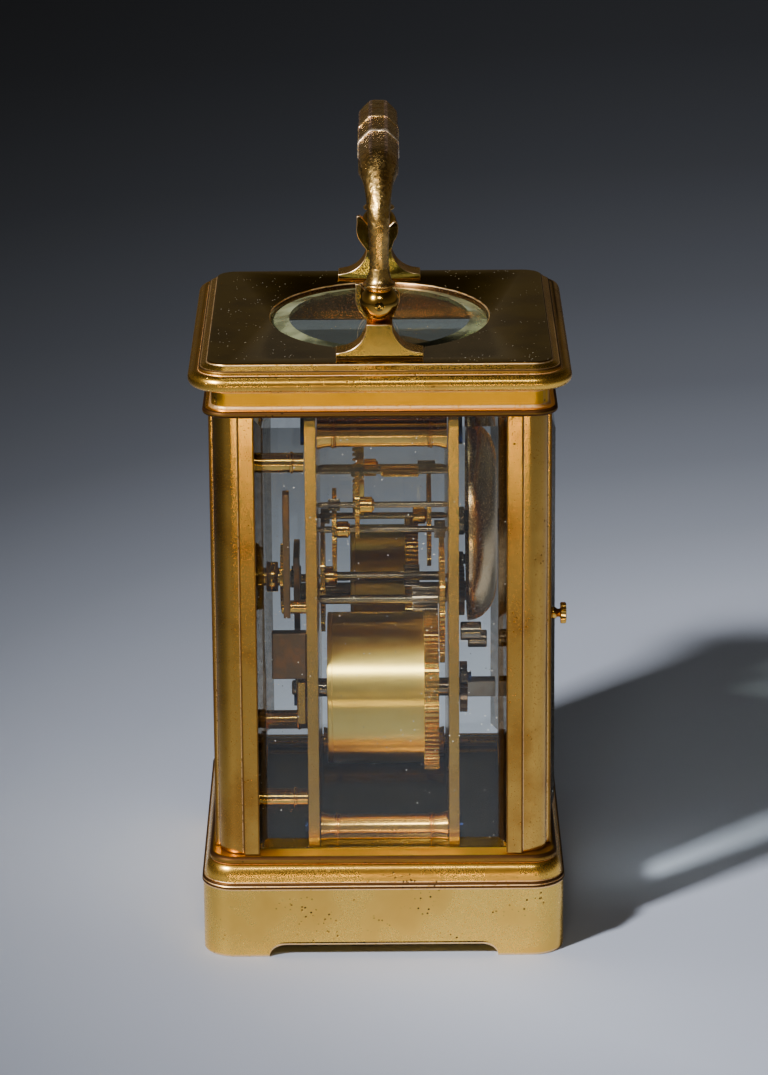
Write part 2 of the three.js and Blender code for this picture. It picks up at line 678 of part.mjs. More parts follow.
add("going_barrel", barrel(GOING, GOING_DRUM, GOING_MODULE), "wheelBrass");
add("going_mainspring", springPack(GOING, GOING_DRUM), "darkSteel");
add("going_barrel_arbor", windingArbor(GOING), "steel");
add("going_click", click(GOING, -1), "steel");
add(
  "centre_arbor",
  arbor(CENTRE, 1.1, CENTRE_LEAVES, GOING_MODULE, centrePhase, [5.4, 9.2], [-19, BACK_PLATE[1] - 0.6]),
  "steel",
);
add(
  "centre_wheel",
  wheel(CENTRE, CENTRE_WHEEL.teeth, CENTRE_WHEEL.module, 0, 1.1 + GAP, CENTRE_WHEEL_Y),
  "wheelBrass",
);
add(
  "third_arbor",
  arbor(THIRD, 0.8, CENTRE_WHEEL.leaves, CENTRE_WHEEL.module, thirdPhase, [-14.5, -12.3]),
  "steel",
);
add("third_wheel", wheel(THIRD, THIRD_WHEEL.teeth, THIRD_WHEEL.module, 0, 0.8 + GAP, [11, 12]), "wheelBrass");
add(
  "contrate_arbor",
  arbor(CONTRATE_AXIS, 0.8, THIRD_WHEEL.leaves, THIRD_WHEEL.module, contratePhase, [8.8, 13]),
  "steel",
);

// The contrate wheel: a crown of teeth that point forward, on a thin web.
function contrateWheel() {
  const r = CONTRATE.radius;
  const step = (2 * Math.PI) / CONTRATE.teeth;
  const bore = 0.8 + GAP;
  const profile = [[bore, -5], [r - 1.2, -5], [r - 1.2, -6.7], [r, -6.7], [r, -4], [bore, -4], [bore, -5]];
  const start = Math.PI / 2;
  const slots = [...Array(CONTRATE.teeth).keys()].map((i) => {
    const a = start + i * step;
    const notch = outline([[r - 3, -0.36], [r + 2, -0.36], [r + 2, 0.36], [r - 3, 0.36]]);
    return toSolid(alongY(notch, [-7.5, -5.9]).rotateY(-a));
  });
  const crown = toSolid(turnedY(profile, [0, 0], 32));
  return toGeometry(slots.reduce((whole, slot) => whole.subtract(slot), crown)).translate(
    CONTRATE_AXIS[0],
    0,
    CONTRATE_AXIS[1],
  );
}

add("contrate_wheel", contrateWheel(), "wheelBrass");

// ---------------------------------------------------------------- motion work, dial and hands
const minuteModule = (2 * MOTION.distance) / (MOTION.cannon + MOTION.minute);
const hourModule = (2 * MOTION.distance) / (MOTION.pinion + MOTION.hour);
const minutePhase = meshPhase(CENTRE, MOTION.cannon, 0, MINUTE, MOTION.minute);
const hourPhase = meshPhase(MINUTE, MOTION.pinion, minutePhase, CENTRE, MOTION.hour);

function cannonPinion() {
  const pipe = turnedY(rodProfile(1, [-32.9, -19.3]), CENTRE, 8);
  const leaves = pinion(CENTRE, MOTION.cannon, minuteModule, 0, [-21.6, -19.3]);
  return join(pipe, leaves);
}

function minuteWheel() {
  const stud = turnedY(rodProfile(1, [-25.5, -18]), MINUTE, 8);
  const teeth = toothed(MOTION.minute, minuteModule, minutePhase, false);
  const disc = alongY(teeth, [-21.2, -20]).translate(MINUTE[0], 0, MINUTE[1]);
  const leaves = pinion(MINUTE, MOTION.pinion, hourModule, minutePhase, [-24.6, -21]);
  return join(stud, disc, leaves);
}

function hourWheel() {
  const teeth = toothed(MOTION.hour, hourModule, hourPhase, false);
  const disc = alongY(teeth, [-24.2, -22.8]).translate(CENTRE[0], 0, CENTRE[1]);
  const pipe = turnedY(rodProfile(2.2, [-31.2, -22.6]), CENTRE, 12);
  const bore = turnedY(rodProfile(1 + GAP, [-33, -20]), CENTRE, 8);
  return cut(join(disc, pipe), bore);
}

// A hand in X-Z from the dial's centre: a boss, a slim blade and an open ring towards the tip.
function hand(length, boss, bore, ring, ys) {
  const blade = alongY(outline([[-0.7, 0], [0.7, 0], [0.35, length], [0, length + 1.5], [-0.35, length]]), ys);
  const disc = turnedY(rodProfile(boss, ys), [0, 0], 12);
  const eye = turnedY(rodProfile(ring, ys), [0, length - 4.5], 12);
  const eyeHole = turnedY(rodProfile(ring - 0.8, [ys[0] - 1, ys[1] + 1]), [0, length - 4.5], 12);
  const hole = turnedY(rodProfile(bore, [ys[0] - 1, ys[1] + 1]), [0, 0], 8);
  return cut(join(blade, disc, eye), eyeHole, hole);
}

// The hands show ten past ten: minute hand 60 degrees, hour hand 305 degrees clockwise from twelve.
const placeHand = (made, clockwise) => made.rotateY(rad(clockwise)).translate(CENTRE[0], 0, CENTRE[1]);

function dialPlate() {
  const disc = ellipse(DIAL_R + 2, DIAL_R + 2, 32);
  return alongY(withHole(disc, 0, 0, 3, 12), DIAL_Y).translate(CENTRE[0], 0, CENTRE[1]);
}

function dialMask() {
  const shape = outline([[-32.4, 25.2], [32.4, 25.2], [32.4, 130.6], [-32.4, 130.6]]);
  withHole(shape, CENTRE[0], CENTRE[1], DIAL_R, 32);
  const feet = [-1, 1].flatMap((sx) =>
    [33.4, 116.5].map((z) =>
      turnedY(rodProfile(2.35, [MASK_Y[0] + 0.4, FRONT_PLATE[0] - GAP]), [sx * DIAL_PILLAR_X, z], 10),
    ),
  );
  return join(alongY(shape, MASK_Y), ...feet);
}

add("cannon_pinion", cannonPinion(), "steel");
add("minute_wheel", minuteWheel(), "wheelBrass");
add("hour_wheel", hourWheel(), "wheelBrass");
add("hour_hand", placeHand(hand(15, 3, 2.2 + GAP, 2, [-31, -30.4]), 305), "darkSteel");
add("minute_hand", placeHand(hand(21.5, 2, 1 + GAP, 1.6, [-32.4, -31.8]), 60), "darkSteel");
add("dial", dialPlate(), "enamel");
add("dial_mask", dialMask(), "polishedBrass");

// ---------------------------------------------------------------- striking train
const strikeSecondPhase = meshPhase(STRIKE, GREAT_TEETH, 0, STRIKE_SECOND, CENTRE_LEAVES);
const strikeThirdPhase = meshPhase(
  STRIKE_SECOND,
  STRIKE_SECOND_WHEEL.teeth,
  0,
  STRIKE_THIRD,
  STRIKE_SECOND_WHEEL.leaves,
);
const warningPhase = meshPhase(STRIKE_THIRD, STRIKE_THIRD_WHEEL.teeth, 0, WARNING, STRIKE_THIRD_WHEEL.leaves);
const flyPhase = meshPhase(WARNING, WARNING_WHEEL.teeth, 0, FLY, WARNING_WHEEL.leaves);

add("strike_barrel", barrel(STRIKE, STRIKE_DRUM, STRIKE_MODULE), "wheelBrass");
add("strike_mainspring", springPack(STRIKE, STRIKE_DRUM), "darkSteel");
add("strike_barrel_arbor", windingArbor(STRIKE), "steel");
add("strike_click", click(STRIKE, 1), "steel");
add(
  "strike_second_arbor",
  arbor(STRIKE_SECOND, 1.1, CENTRE_LEAVES, STRIKE_MODULE, strikeSecondPhase, [7.3, 13.4]),
  "steel",
);
add(
  "strike_second_wheel",
  wheel(STRIKE_SECOND, STRIKE_SECOND_WHEEL.teeth, STRIKE_SECOND_WHEEL.module, 0, 1.1 + GAP, [13.7, 14.9]),
  "wheelBrass",
);

// The fast arbors carry their wheels riveted on, so each is one piece.
function wheeledArbor(axis, made, { teeth, module }, ys) {
  return join(made, alongY(toothed(teeth, module, 0, false), ys).translate(axis[0], 0, axis[1]));
}

const strikeThirdArbor = arbor(
  STRIKE_THIRD,
  0.8,
  STRIKE_SECOND_WHEEL.leaves,
  STRIKE_SECOND_WHEEL.module,
  strikeThirdPhase,
  [12.6, 15.2],
);
const warningArbor = arbor(
  WARNING,
  0.7,
  STRIKE_THIRD_WHEEL.leaves,
  STRIKE_THIRD_WHEEL.module,
  warningPhase,
  [-12.4, -9.6],
);
const flyArbor = arbor(FLY, 0.6, WARNING_WHEEL.leaves, WARNING_WHEEL.module, flyPhase, [-7, -4]);
const vanes = block([FLY[0] - 4, FLY[0] + 4], [0, 9], [FLY[1] - 0.2, FLY[1] + 0.2]);
add(
  "strike_third_wheel",
  wheeledArbor(STRIKE_THIRD, strikeThirdArbor, STRIKE_THIRD_WHEEL, [-11.5, -10.5]),
  "wheelBrass",
);
add("warning_wheel", wheeledArbor(WARNING, warningArbor, WARNING_WHEEL, [-6, -5]), "wheelBrass");
add("fly", join(flyArbor, vanes), "steel");

// ---------------------------------------------------------------- strike work and bell
// The bridge that holds the front ends of the strike barrel's arbor.
function barrelBridge() {
  const shape = outline([[6, 52.2], [28.8, 52.2], [28.8, 62.8], [6, 62.8]]);
  withHole(shape, STRIKE[0], STRIKE[1], BARREL_ARBOR_R + GAP, 8);
  return alongY(shape, [-20.1, FRONT_PLATE[0] - GAP]);
}

// The rack: an arm on a stud, with a toothed sector at its upper end.
const RACK_PIVOT = [22, 68];

function strikeRack() {
  const arc = (r, from, to, steps) =>
    [...Array(steps + 1).keys()].map((i) => polar(r, rad(from + ((to - from) * i) / steps)));
  const teeth = arc(27, 74, 102, 14).map(([x, z], i) => (i % 2 ? [x, z] : [x * 0.96, z * 0.96]));
  const sector = outline([...teeth, ...arc(22.5, 102, 74, 5)]);
  const limb = outline([[-1.6, 0], [1.6, 0], [1.2, 24], [-1.2, 24]]);
  const ys = [-20.6, -19.2];
  const made = join(alongY(sector, ys), alongY(limb, ys), turnedY(rodProfile(2.4, [-22, -18.2]), [0, 0], 10));
  return made.translate(RACK_PIVOT[0], 0, RACK_PIVOT[1]);
}

// The bell: a shallow cup that faces the back plate, with a wide rounded shoulder.
function bell() {
  const [rim, crown] = BELL_Y;
  const depth = crown - rim;
  const curve = (grow) =>
    [0, 25, 50, 72, 90].map((a) => [
      BELL_R - 9 + (9 - grow) * Math.cos(rad(a)),
      rim + (depth - grow) * Math.sin(rad(a)),
    ]);
  const outer = curve(0);
  const inner = curve(1.2).reverse();
  return turnedY([...outer, [1.9, crown], [1.9, crown - 1.2], ...inner, outer[0]], [0, BELL_Z], 24);
}

const BELL_STAND_PROFILE = [
  [0, BACK_PLATE[1] + GAP],
  [3.4, BACK_PLATE[1] + GAP],
  [3.4, 20],
  [2.6, 26],
  [1.5, 26.1],
  [1.5, 27.9],
  [3, 27.9],
  [3, 29.4],
  [0, 29.8],
];

// The hammer: a pivot block on the back plate, a slim rod, and a head just outside the bell's rim.
const HAMMER_PIVOT = [28, 75];
const HAMMER_HEAD = [8, 66.4];

function hammer() {
  const dx = HAMMER_HEAD[0] - HAMMER_PIVOT[0];
  const dz = HAMMER_HEAD[1] - HAMMER_PIVOT[1];
  const length = Math.hypot(dx, dz);
  const rod = block([0, length], [21.6, 22.8], [-0.6, 0.6]).rotateY(-Math.atan2(dz, dx));
  const hub = turnedY(rodProfile(2.2, [18.5, 23.4]), [0, 0], 10);
  const head = turnedY(rodProfile(2.1, [20.6, 25.2]), [dx, dz], 12);
  return join(rod, hub, head).translate(HAMMER_PIVOT[0], 0, HAMMER_PIVOT[1]);
}

add("barrel_bridge", barrelBridge(), "polishedBrass");
add("strike_rack", strikeRack(), "darkSteel");
add("bell", bell(), "bellMetal");
add("bell_stand", turnedY(BELL_STAND_PROFILE, [0, BELL_Z], 10), "steel");
add("hammer", hammer(), "steel");

// ---------------------------------------------------------------- platform escapement
const CONTRATE_PITCH = CONTRATE.radius - 0.6;
const ESCAPE_PITCH = (CONTRATE_PITCH * CONTRATE.leaves) / CONTRATE.teeth;
const ESCAPE_Y = -6.3 - ESCAPE_PITCH;
const CROWN_Z = CONTRATE_AXIS[1] + CONTRATE.radius;

// The platform lies across both plates. A potence hangs from it to hold the escape arbor's foot.
function platform() {
  const plateShape = outline([[-14, -17.4], [14, -17.4], [14, 17.8], [-14, 17.8]]);
  withHole(plateShape, 0, ESCAPE_Y, 1.6 + GAP, 10);
  const hanger = block([-1.5, 1.5], [ESCAPE_Y - 4.6, ESCAPE_Y - 3.2], [CROWN_Z - 6, PLATFORM_Z[0] + 0.5]);
  const foot = block([-1.5, 1.5], [ESCAPE_Y - 4.6, ESCAPE_Y + 1.2], [CROWN_Z - 6, CROWN_Z - 4.6]);
  const pivotHole = turnedUp(rodProfile(0.4 + GAP, [CROWN_Z - 7, CROWN_Z - 3]), [0, ESCAPE_Y], 8);
  return cut(join(upright(plateShape, PLATFORM_Z), hanger, foot), pivotHole);
}

function escapeWheel() {
  const leaves = toothed(CONTRATE.leaves, (2 * ESCAPE_PITCH) / CONTRATE.leaves, Math.PI / 2, true);
  const staff = turnedUp(
    [
      [0, CROWN_Z - 5.6],
      [0.4, CROWN_Z - 5.6],
      [0.4, CROWN_Z - 4.2],
      [0.6, CROWN_Z - 4.2],
      [0.6, 132.4],
      [0, 132.4],
    ],
    [0, ESCAPE_Y],
    8,
  );
  const disc = upright(sawteeth(15, 2.9, 3.7), [130.4, 130.9]).translate(0, ESCAPE_Y, 0);
  return join(staff, disc, upright(leaves, [CROWN_Z - 1.6, CROWN_Z + 0.6]).translate(0, ESCAPE_Y, 0));
}

function lever() {
  const anchor = block([-2.9, 2.9], [LEVER_Y - 0.5, LEVER_Y + 0.5], [131.3, 131.7]);
  const limb = block([-0.4, 0.4], [LEVER_Y, BALANCE_Y - 2], [131.3, 131.7]);
  const staff = turnedUp(rodProfile(0.5, [129.7, 132.5]), [0, LEVER_Y], 8);
  return join(anchor, limb, staff);
}

function balance() {
  const at = [0, BALANCE_Y];
  const rim = turnedUp(
    [
      [BALANCE_R - 0.8, 133.4],
      [BALANCE_R, 133.4],
      [BALANCE_R, 134.2],
      [BALANCE_R - 0.8, 134.2],
      [BALANCE_R - 0.8, 133.4],
    ],
    at,
    24,
  );
  const reach = BALANCE_R - 0.4;
  const armBar = block([-reach, reach], [BALANCE_Y - 0.5, BALANCE_Y + 0.5], [133.5, 134.1]);
  const staff = turnedUp(rodProfile(0.5, [129.7, 135.6]), at, 8);
  const roller = turnedUp(rodProfile(1.1, [132.2, 132.7]), at, 10);
  return join(rim, armBar, staff, roller);
}

function balanceCock() {
  const foot = block([8, 13], [12, 17], [PLATFORM_Z[1] + GAP, 136.4]);
  const arm = outline([[-1.3, BALANCE_Y + 1.3], [1.3, BALANCE_Y - 1.3], [13, 12], [13, 17], [8, 17]]);
  return join(foot, upright(arm, [135.9, 137]));
}

add("platform", platform(), "polishedBrass");
add("escape_wheel", escapeWheel(), "steel");
add("lever", lever(), "steel");
add("balance_wheel", balance(), "wheelBrass");
add("balance_cock", balanceCock(), "polishedBrass");

export default clock;
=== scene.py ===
"""A glazed brass carriage clock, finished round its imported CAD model.

Lengths in this file are millimetres in the model's own frame, and MM turns them into Blender's metres.
X runs across the dial, Y from the dial to the back door, Z up.
"""

import json
import math

import bpy
import bmesh
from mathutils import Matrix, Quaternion, Vector, noise
from mathutils.geometry import tessellate_polygon


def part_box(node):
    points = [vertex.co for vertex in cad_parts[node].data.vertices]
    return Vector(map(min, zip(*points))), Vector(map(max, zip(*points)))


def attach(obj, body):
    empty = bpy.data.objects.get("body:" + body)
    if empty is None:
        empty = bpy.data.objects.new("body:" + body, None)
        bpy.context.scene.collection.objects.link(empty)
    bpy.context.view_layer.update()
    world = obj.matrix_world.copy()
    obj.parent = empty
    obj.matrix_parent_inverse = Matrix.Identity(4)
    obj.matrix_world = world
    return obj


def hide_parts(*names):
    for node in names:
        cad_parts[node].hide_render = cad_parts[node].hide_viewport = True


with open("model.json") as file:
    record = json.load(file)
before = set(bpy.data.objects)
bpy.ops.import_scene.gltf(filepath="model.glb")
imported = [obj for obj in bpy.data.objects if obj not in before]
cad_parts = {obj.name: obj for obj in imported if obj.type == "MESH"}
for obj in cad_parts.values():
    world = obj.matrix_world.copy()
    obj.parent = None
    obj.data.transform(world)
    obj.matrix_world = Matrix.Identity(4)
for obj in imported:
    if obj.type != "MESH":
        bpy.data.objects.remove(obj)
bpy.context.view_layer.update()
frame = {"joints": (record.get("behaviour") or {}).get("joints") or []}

MM = 0.001
TURN = 2 * math.pi
CASE = "case_and_frame"

# ---------------------------------------------------------------- places taken from the frame


def limits(node):
    """A CAD node's lowest and highest corners, in millimetres."""
    low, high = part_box(node)
    return low / MM, high / MM


def axis_of(joint):
    """A hinge's place, in millimetres."""
    found = next(j for j in frame["joints"] if j["name"] == joint)
    return Vector(found["pos_m"]) / MM


GOING = axis_of("going_winding")
STRIKE = axis_of("strike_winding")
CENTRE = axis_of("centre_arbor_turn")
THIRD = axis_of("third_arbor_turn")
CONTRATE = axis_of("contrate_arbor_turn")
SECOND = axis_of("strike_second_turn")
STRIKE_THIRD = axis_of("strike_third_turn")
WARNING = axis_of("warning_wheel_turn")
FLY = axis_of("fly_turn")
MINUTE = axis_of("minute_wheel_turn")
ESCAPE = axis_of("escape_wheel_turn")
BALANCE = axis_of("balance_swing")
LEVER = axis_of("lever_rock")
HINGE = axis_of("back_door_hinge")
PIVOT = axis_of("handle_fold")
BASE_TOP = limits("base_plinth")[1].z
CORNICE_Z = limits("cornice_top")[0].z
PANEL_Z = limits("cornice_top")[1].z
PILLAR_Z = limits("pillar_front_right")[0].z, limits("pillar_front_right")[1].z
FRONT_PLATE = limits("front_plate")[0].y, limits("front_plate")[1].y
BACK_PLATE = limits("back_plate")[0].y, limits("back_plate")[1].y
PLATE_Z = limits("front_plate")[0].z, limits("front_plate")[1].z
PLATE_HALF = limits("front_plate")[1].x
PLINTH_R = 7.7
CORNER_X = limits("cornice_top")[1].x - 9.15
CORNER_Y = limits("cornice_top")[1].y - 9.15

# ---------------------------------------------------------------- shapes


class Shape:
    """Vertices in millimetres, each with an edge value: 1 on a worn edge, -1 in a dark corner."""

    def __init__(self):
        self.points = []
        self.edges = []
        self.faces = []

    def add(self, points, faces, edges=None):
        start = len(self.points)
        self.points += [Vector(p) for p in points]
        self.edges += list(edges) if edges else [0.0] * len(points)
        self.faces += [[start + i for i in face] for face in faces]
        return self

    def join(self, *others):
        for other in others:
            self.add(other.points, other.faces, other.edges)
        return self


def place(axis, a, b, t):
    """A point from two coordinates across an axis and one along it."""
    return {"X": (t, a, b), "Y": (a, t, b), "Z": (a, b, t)}[axis]


def polar(r, a):
    return r * math.cos(a), r * math.sin(a)


def arc(centre, r, start, end, steps):
    """Points round a centre, between two angles in degrees."""
    angles = [math.radians(start + (end - start) * i / steps) for i in range(steps + 1)]
    return [(centre[0] + r * math.cos(a), centre[1] + r * math.sin(a)) for a in angles]


def softened(profile, radius=0.12, closed=False):
    """A profile with its corners rounded and marked: each point gets the turn that it stands for."""
    made = []
    count = len(profile)
    for i, point in enumerate(profile):
        here = Vector(point)
        if not closed and i in (0, count - 1):
            made.append((here.x, here.y, 0.0))
            continue
        before = Vector(profile[i - 1]) - here
        after = Vector(profile[(i + 1) % count]) - here
        turn = math.atan2(after.x * -before.y + after.y * before.x, -before.dot(after))
        reach = min(radius, 0.3 * before.length, 0.3 * after.length)
        mark = max(-1.0, min(1.0, turn / 0.8))
        if abs(turn) < 0.3:
            made.append((here.x, here.y, 0.0))
            continue
        start, end = here + before.normalized() * reach, here + after.normalized() * reach
        middle = (start + end) * 0.25 + here * 0.5
        for flat, tail in ((before, start), (after, end)):
            if flat is before and flat.length > 6 * reach:
                far = here + flat.normalized() * reach * 2.6
                made.append((far.x, far.y, 0.0))
            if flat is after:
                made.append((middle.x, middle.y, mark))
            made.append((tail.x, tail.y, mark))
            if flat is after and flat.length > 6 * reach:
                far = here + flat.normalized() * reach * 2.6
                made.append((far.x, far.y, 0.0))
    return made


def turned(profile, axis="Y", at=(0, 0), sides=48, ripple=None):
    """A turned piece. The profile is (radius, place along the axis) and starts and ends on the axis or closes.
    ripple is (count, depth): flutes round every point that has a radius over half of the largest."""
    shape = Shape()
    marks = [p[2] if len(p) > 2 else 0.0 for p in profile]
    widest = max(p[0] for p in profile)
    points, edges = [], []
    for point, mark in zip(profile, marks):
        r, t = point[0], point[1]
        for i in range(sides):
            own = r
            if ripple and r > widest / 2:
                own += ripple[1] * math.cos(ripple[0] * TURN * i / sides)
            a, b = polar(own, TURN * i / sides)
            points.append(place(axis, at[0] + a, at[1] + b, t))
            edges.append(mark)
    rows = len(profile)
    faces = [
        [j * sides + i, j * sides + (i + 1) % sides, (j + 1) * sides + (i + 1) % sides, (j + 1) * sides + i]
        for j in range(rows - 1)
        for i in range(sides)
    ]
    return shape.add(points, faces, edges)


def circle(r, centre=(0, 0), sides=32):
    return [(centre[0] + r * math.cos(TURN * i / sides), centre[1] + r * math.sin(TURN * i / sides))
            for i in range(sides)]


def extruded(outline, axis, ends, holes=(), centre=(0, 0), edges=None):
    """A flat outline with holes, drawn across an axis and run along it."""
    shape = Shape()
    loops = [outline, *holes]
    moved = [[(centre[0] + p[0], centre[1] + p[1]) for p in loop] for loop in loops]
    flat = [p for loop in moved for p in loop]
    count = len(flat)
    points = [place(axis, a, b, t) for t in ends for a, b in flat]
    if holes:
        caps = [list(f) for f in tessellate_polygon([[Vector((a, b, 0)) for a, b in loop] for loop in moved])]
    else:
        caps = [list(range(count))]
    faces = caps + [[i + count for i in reversed(face)] for face in caps]
    start = 0
    for loop in moved:
        for i in range(len(loop)):
            j = (i + 1) % len(loop)
            faces.append([start + i, start + j, start + j + count, start + i + count])
        start += len(loop)
    return shape.add(points, faces, (edges * 2) if edges else None)


def block(x, y, z):
    return extruded([(x[0], y[0]), (x[1], y[0]), (x[1], y[1]), (x[0], y[1])], "Z", z)


def loops_to_shape(loops, marks=None, cap_start=True, cap_end=True):
    """A skin over a row of loops that have the same number of points."""
    count = len(loops[0])
    points = [p for loop in loops for p in loop]
    faces = [
        [j * count + i, j * count + (i + 1) % count, (j + 1) * count + (i + 1) % count, (j + 1) * count + i]
        for j in range(len(loops) - 1)
        for i in range(count)
    ]
    if cap_start:
        faces.append(list(range(count)))
    if cap_end:
        faces.append([(len(loops) - 1) * count + i for i in reversed(range(count))])
    edges = [m for m in marks for _ in range(count)] if marks else None
    return Shape().add(points, faces, edges)


def gear_teeth(teeth, module, phase, leaf=False):
    """A wheel's outline with round-shouldered teeth, or a pinion's with slimmer leaves."""
    pitch = teeth * module / 2
    rows = [(-0.30, -1.2), (-0.22, -0.1), (-0.13, 0.72), (0.0, 0.92), (0.13, 0.72), (0.22, -0.1), (0.30, -1.2)]
    if leaf:
        rows = [(-0.24, -1.2), (-0.19, 0.0), (-0.12, 0.55), (0.0, 0.75), (0.12, 0.55), (0.19, 0.0), (0.24, -1.2)]
    step = TURN / teeth
    return [polar(pitch + out * module, phase + (i + share) * step) for i in range(teeth) for share, out in rows]


def crossings(inner, outer, arms, width, phase=0.0):
    """The openings between a wheel's arms."""
    made = []
    for k in range(arms):
        start, end = phase + TURN * k / arms, phase + TURN * (k + 1) / arms
        lean = [math.asin(width / 2 / r) for r in (inner, outer)]
        near = [polar(inner, a) for a in spread(start + lean[0], end - lean[0], 5)]
        far = [polar(outer, a) for a in spread(end - lean[1], start + lean[1], 11)]
        made.append(near + far)
    return made


def spread(start, end, count):
    return [start + (end - start) * i / (count - 1) for i in range(count)]


def mesh_phase(first, teeth, phase, second, other):
    """The phase that puts a gap of the driven gear on a tooth of the driving gear."""
    a = math.atan2(second.z - first.z, second.x - first.x)
    share = (a - phase) * teeth / TURN
    return a + math.pi - TURN / other * (0.5 - share)


# ---------------------------------------------------------------- pieces


def piece(name, shape, material, body=CASE, replaces=(), bevel=0.0, smooth=38):
    """A mesh object from a shape, on its body. bevel is the width of the edges' rounding."""
    mesh = bpy.data.meshes.new(name)
    mesh.from_pydata([p * MM for p in shape.points], [], shape.faces)
    mesh.attributes.new("edge", "FLOAT", "POINT").data.foreach_set("value", shape.edges)
    built = bmesh.new()
    built.from_mesh(mesh)
    bmesh.ops.remove_doubles(built, verts=built.verts, dist=0.002 * MM)
    bmesh.ops.dissolve_degenerate(built, edges=built.edges, dist=0.0005 * MM)
    bmesh.ops.recalc_face_normals(built, faces=built.faces)
    built.to_mesh(mesh)
    built.free()
    mesh.polygons.foreach_set("use_smooth", [True] * len(mesh.polygons))
    mesh.set_sharp_from_angle(angle=math.radians(smooth))
    mesh.materials.append(material)
    made = bpy.data.objects.new(name, mesh)
    bpy.context.scene.collection.objects.link(made)
    if bevel:
        rounding = made.modifiers.new("edge_rounding", "BEVEL")
        rounding.width = bevel * MM
        rounding.segments = 2
        rounding.limit_method = "ANGLE"
        rounding.angle_limit = math.radians(32)
        rounding.use_clamp_overlap = True
        made.modifiers.new("even_shading", "WEIGHTED_NORMAL").keep_sharp = True
    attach(made, body)
    if replaces:
        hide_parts(*([replaces] if isinstance(replaces, str) else replaces))
    return made


def repaint(made, material, test):
    """Gives another material to the faces whose centre, in millimetres, and normal pass a test."""
    index = len(made.data.materials)
    made.data.materials.append(material)
    for polygon in made.data.polygons:
        if test(polygon.center / MM, polygon.normal):
            polygon.material_index = index


# ---------------------------------------------------------------- materials


class Finish:
    """A node material built up from short calls. Textures are laid out in the object's own space."""

    def __init__(self, name, shader="ShaderNodeBsdfPrincipled"):
        self.material = bpy.data.materials.new(name)
        self.material.use_nodes = True
        self.nodes = self.material.node_tree.nodes
        self.links = self.material.node_tree.links
        self.nodes.clear()
        self.output = self.nodes.new("ShaderNodeOutputMaterial")
        self.space = self.nodes.new("ShaderNodeTexCoord").outputs["Object"]
        self.shader = self.nodes.new(shader)
        self.links.new(self.shader.outputs[0], self.output.inputs["Surface"])

    def put(self, socket, value):
        if isinstance(value, bpy.types.NodeSocket):
            self.links.new(value, socket)
        elif isinstance(value, tuple) and len(value) == 3 and socket.type == "RGBA":
            socket.default_value = (*value, 1)
        else:
            socket.default_value = value

    def stretched(self, scale):
        node = self.nodes.new("ShaderNodeMapping")
        self.put(node.inputs["Vector"], self.space)
        node.inputs["Scale"].default_value = scale
        return node.outputs[0]

    def grain(self, size, detail=3.0, stretch=(1, 1, 1), roughness=0.55):
        """Noise from about 0 to 1 whose features are size millimetres across, longer along a small stretch."""
        node = self.nodes.new("ShaderNodeTexNoise")
        scale = 1 / (size * MM)
        self.put(node.inputs["Vector"], self.stretched(tuple(scale * s for s in stretch)))
        node.inputs["Scale"].default_value = 1.0
        node.inputs["Detail"].default_value = detail
        node.inputs["Roughness"].default_value = roughness
        return node.outputs["Fac"]

    def cells(self, size, feature="F1"):
        node = self.nodes.new("ShaderNodeTexVoronoi")
        node.feature = feature
        self.put(node.inputs["Vector"], self.space)
        node.inputs["Scale"].default_value = 1 / (size * MM)
        return node.outputs["Distance"]

    def attribute(self, name):
        node = self.nodes.new("ShaderNodeAttribute")
        node.attribute_name = name
        return node.outputs["Fac"]

    def along(self, axis):
        node = self.nodes.new("ShaderNodeSeparateXYZ")
        self.put(node.inputs[0], self.space)
        return node.outputs[axis]

    def band(self, value, low, high, start=0.0, end=1.0):
        """value from low to high becomes start to end, smoothly and held outside."""
        node = self.nodes.new("ShaderNodeMapRange")
        node.interpolation_type = "SMOOTHSTEP"
        for socket, given in zip(node.inputs, (value, low, high, start, end)):
            self.put(socket, given)
        return node.outputs[0]

    def math(self, operation, first, second=0.0):
        node = self.nodes.new("ShaderNodeMath")
        node.operation = operation
        self.put(node.inputs[0], first)
        self.put(node.inputs[1], second)
        return node.outputs[0]

    def mix(self, share, first, second):
        node = self.nodes.new("ShaderNodeMix")
        node.data_type = "RGBA"
        self.put(node.inputs["Factor"], share)
        self.put(node.inputs["A"], first)
        self.put(node.inputs["B"], second)
        return node.outputs["Result"]

    def bump(self, height, depth, below=None, strength=1.0):
        """Relief of a depth in millimetres."""
        node = self.nodes.new("ShaderNodeBump")
        node.inputs["Strength"].default_value = strength
        node.inputs["Distance"].default_value = depth * MM
        self.put(node.inputs["Height"], height)
        if below is not None:
            self.put(node.inputs["Normal"], below)
        return node.outputs[0]

    def set(self, **values):
        for key, value in values.items():
            self.put(self.shader.inputs[key.replace("_", " ")], value)
        return self


AXES = {"X": (1, 0, 0), "Y": (0, 1, 0), "Z": (0, 0, 1)}


def brushed(finish, along, size=0.16, length=30):
    """Fine straight marks that run along an axis."""
    stretch = tuple(1 / length if AXES[along][i] else 1 for i in range(3))
    return finish.grain(size, 2.0, stretch)


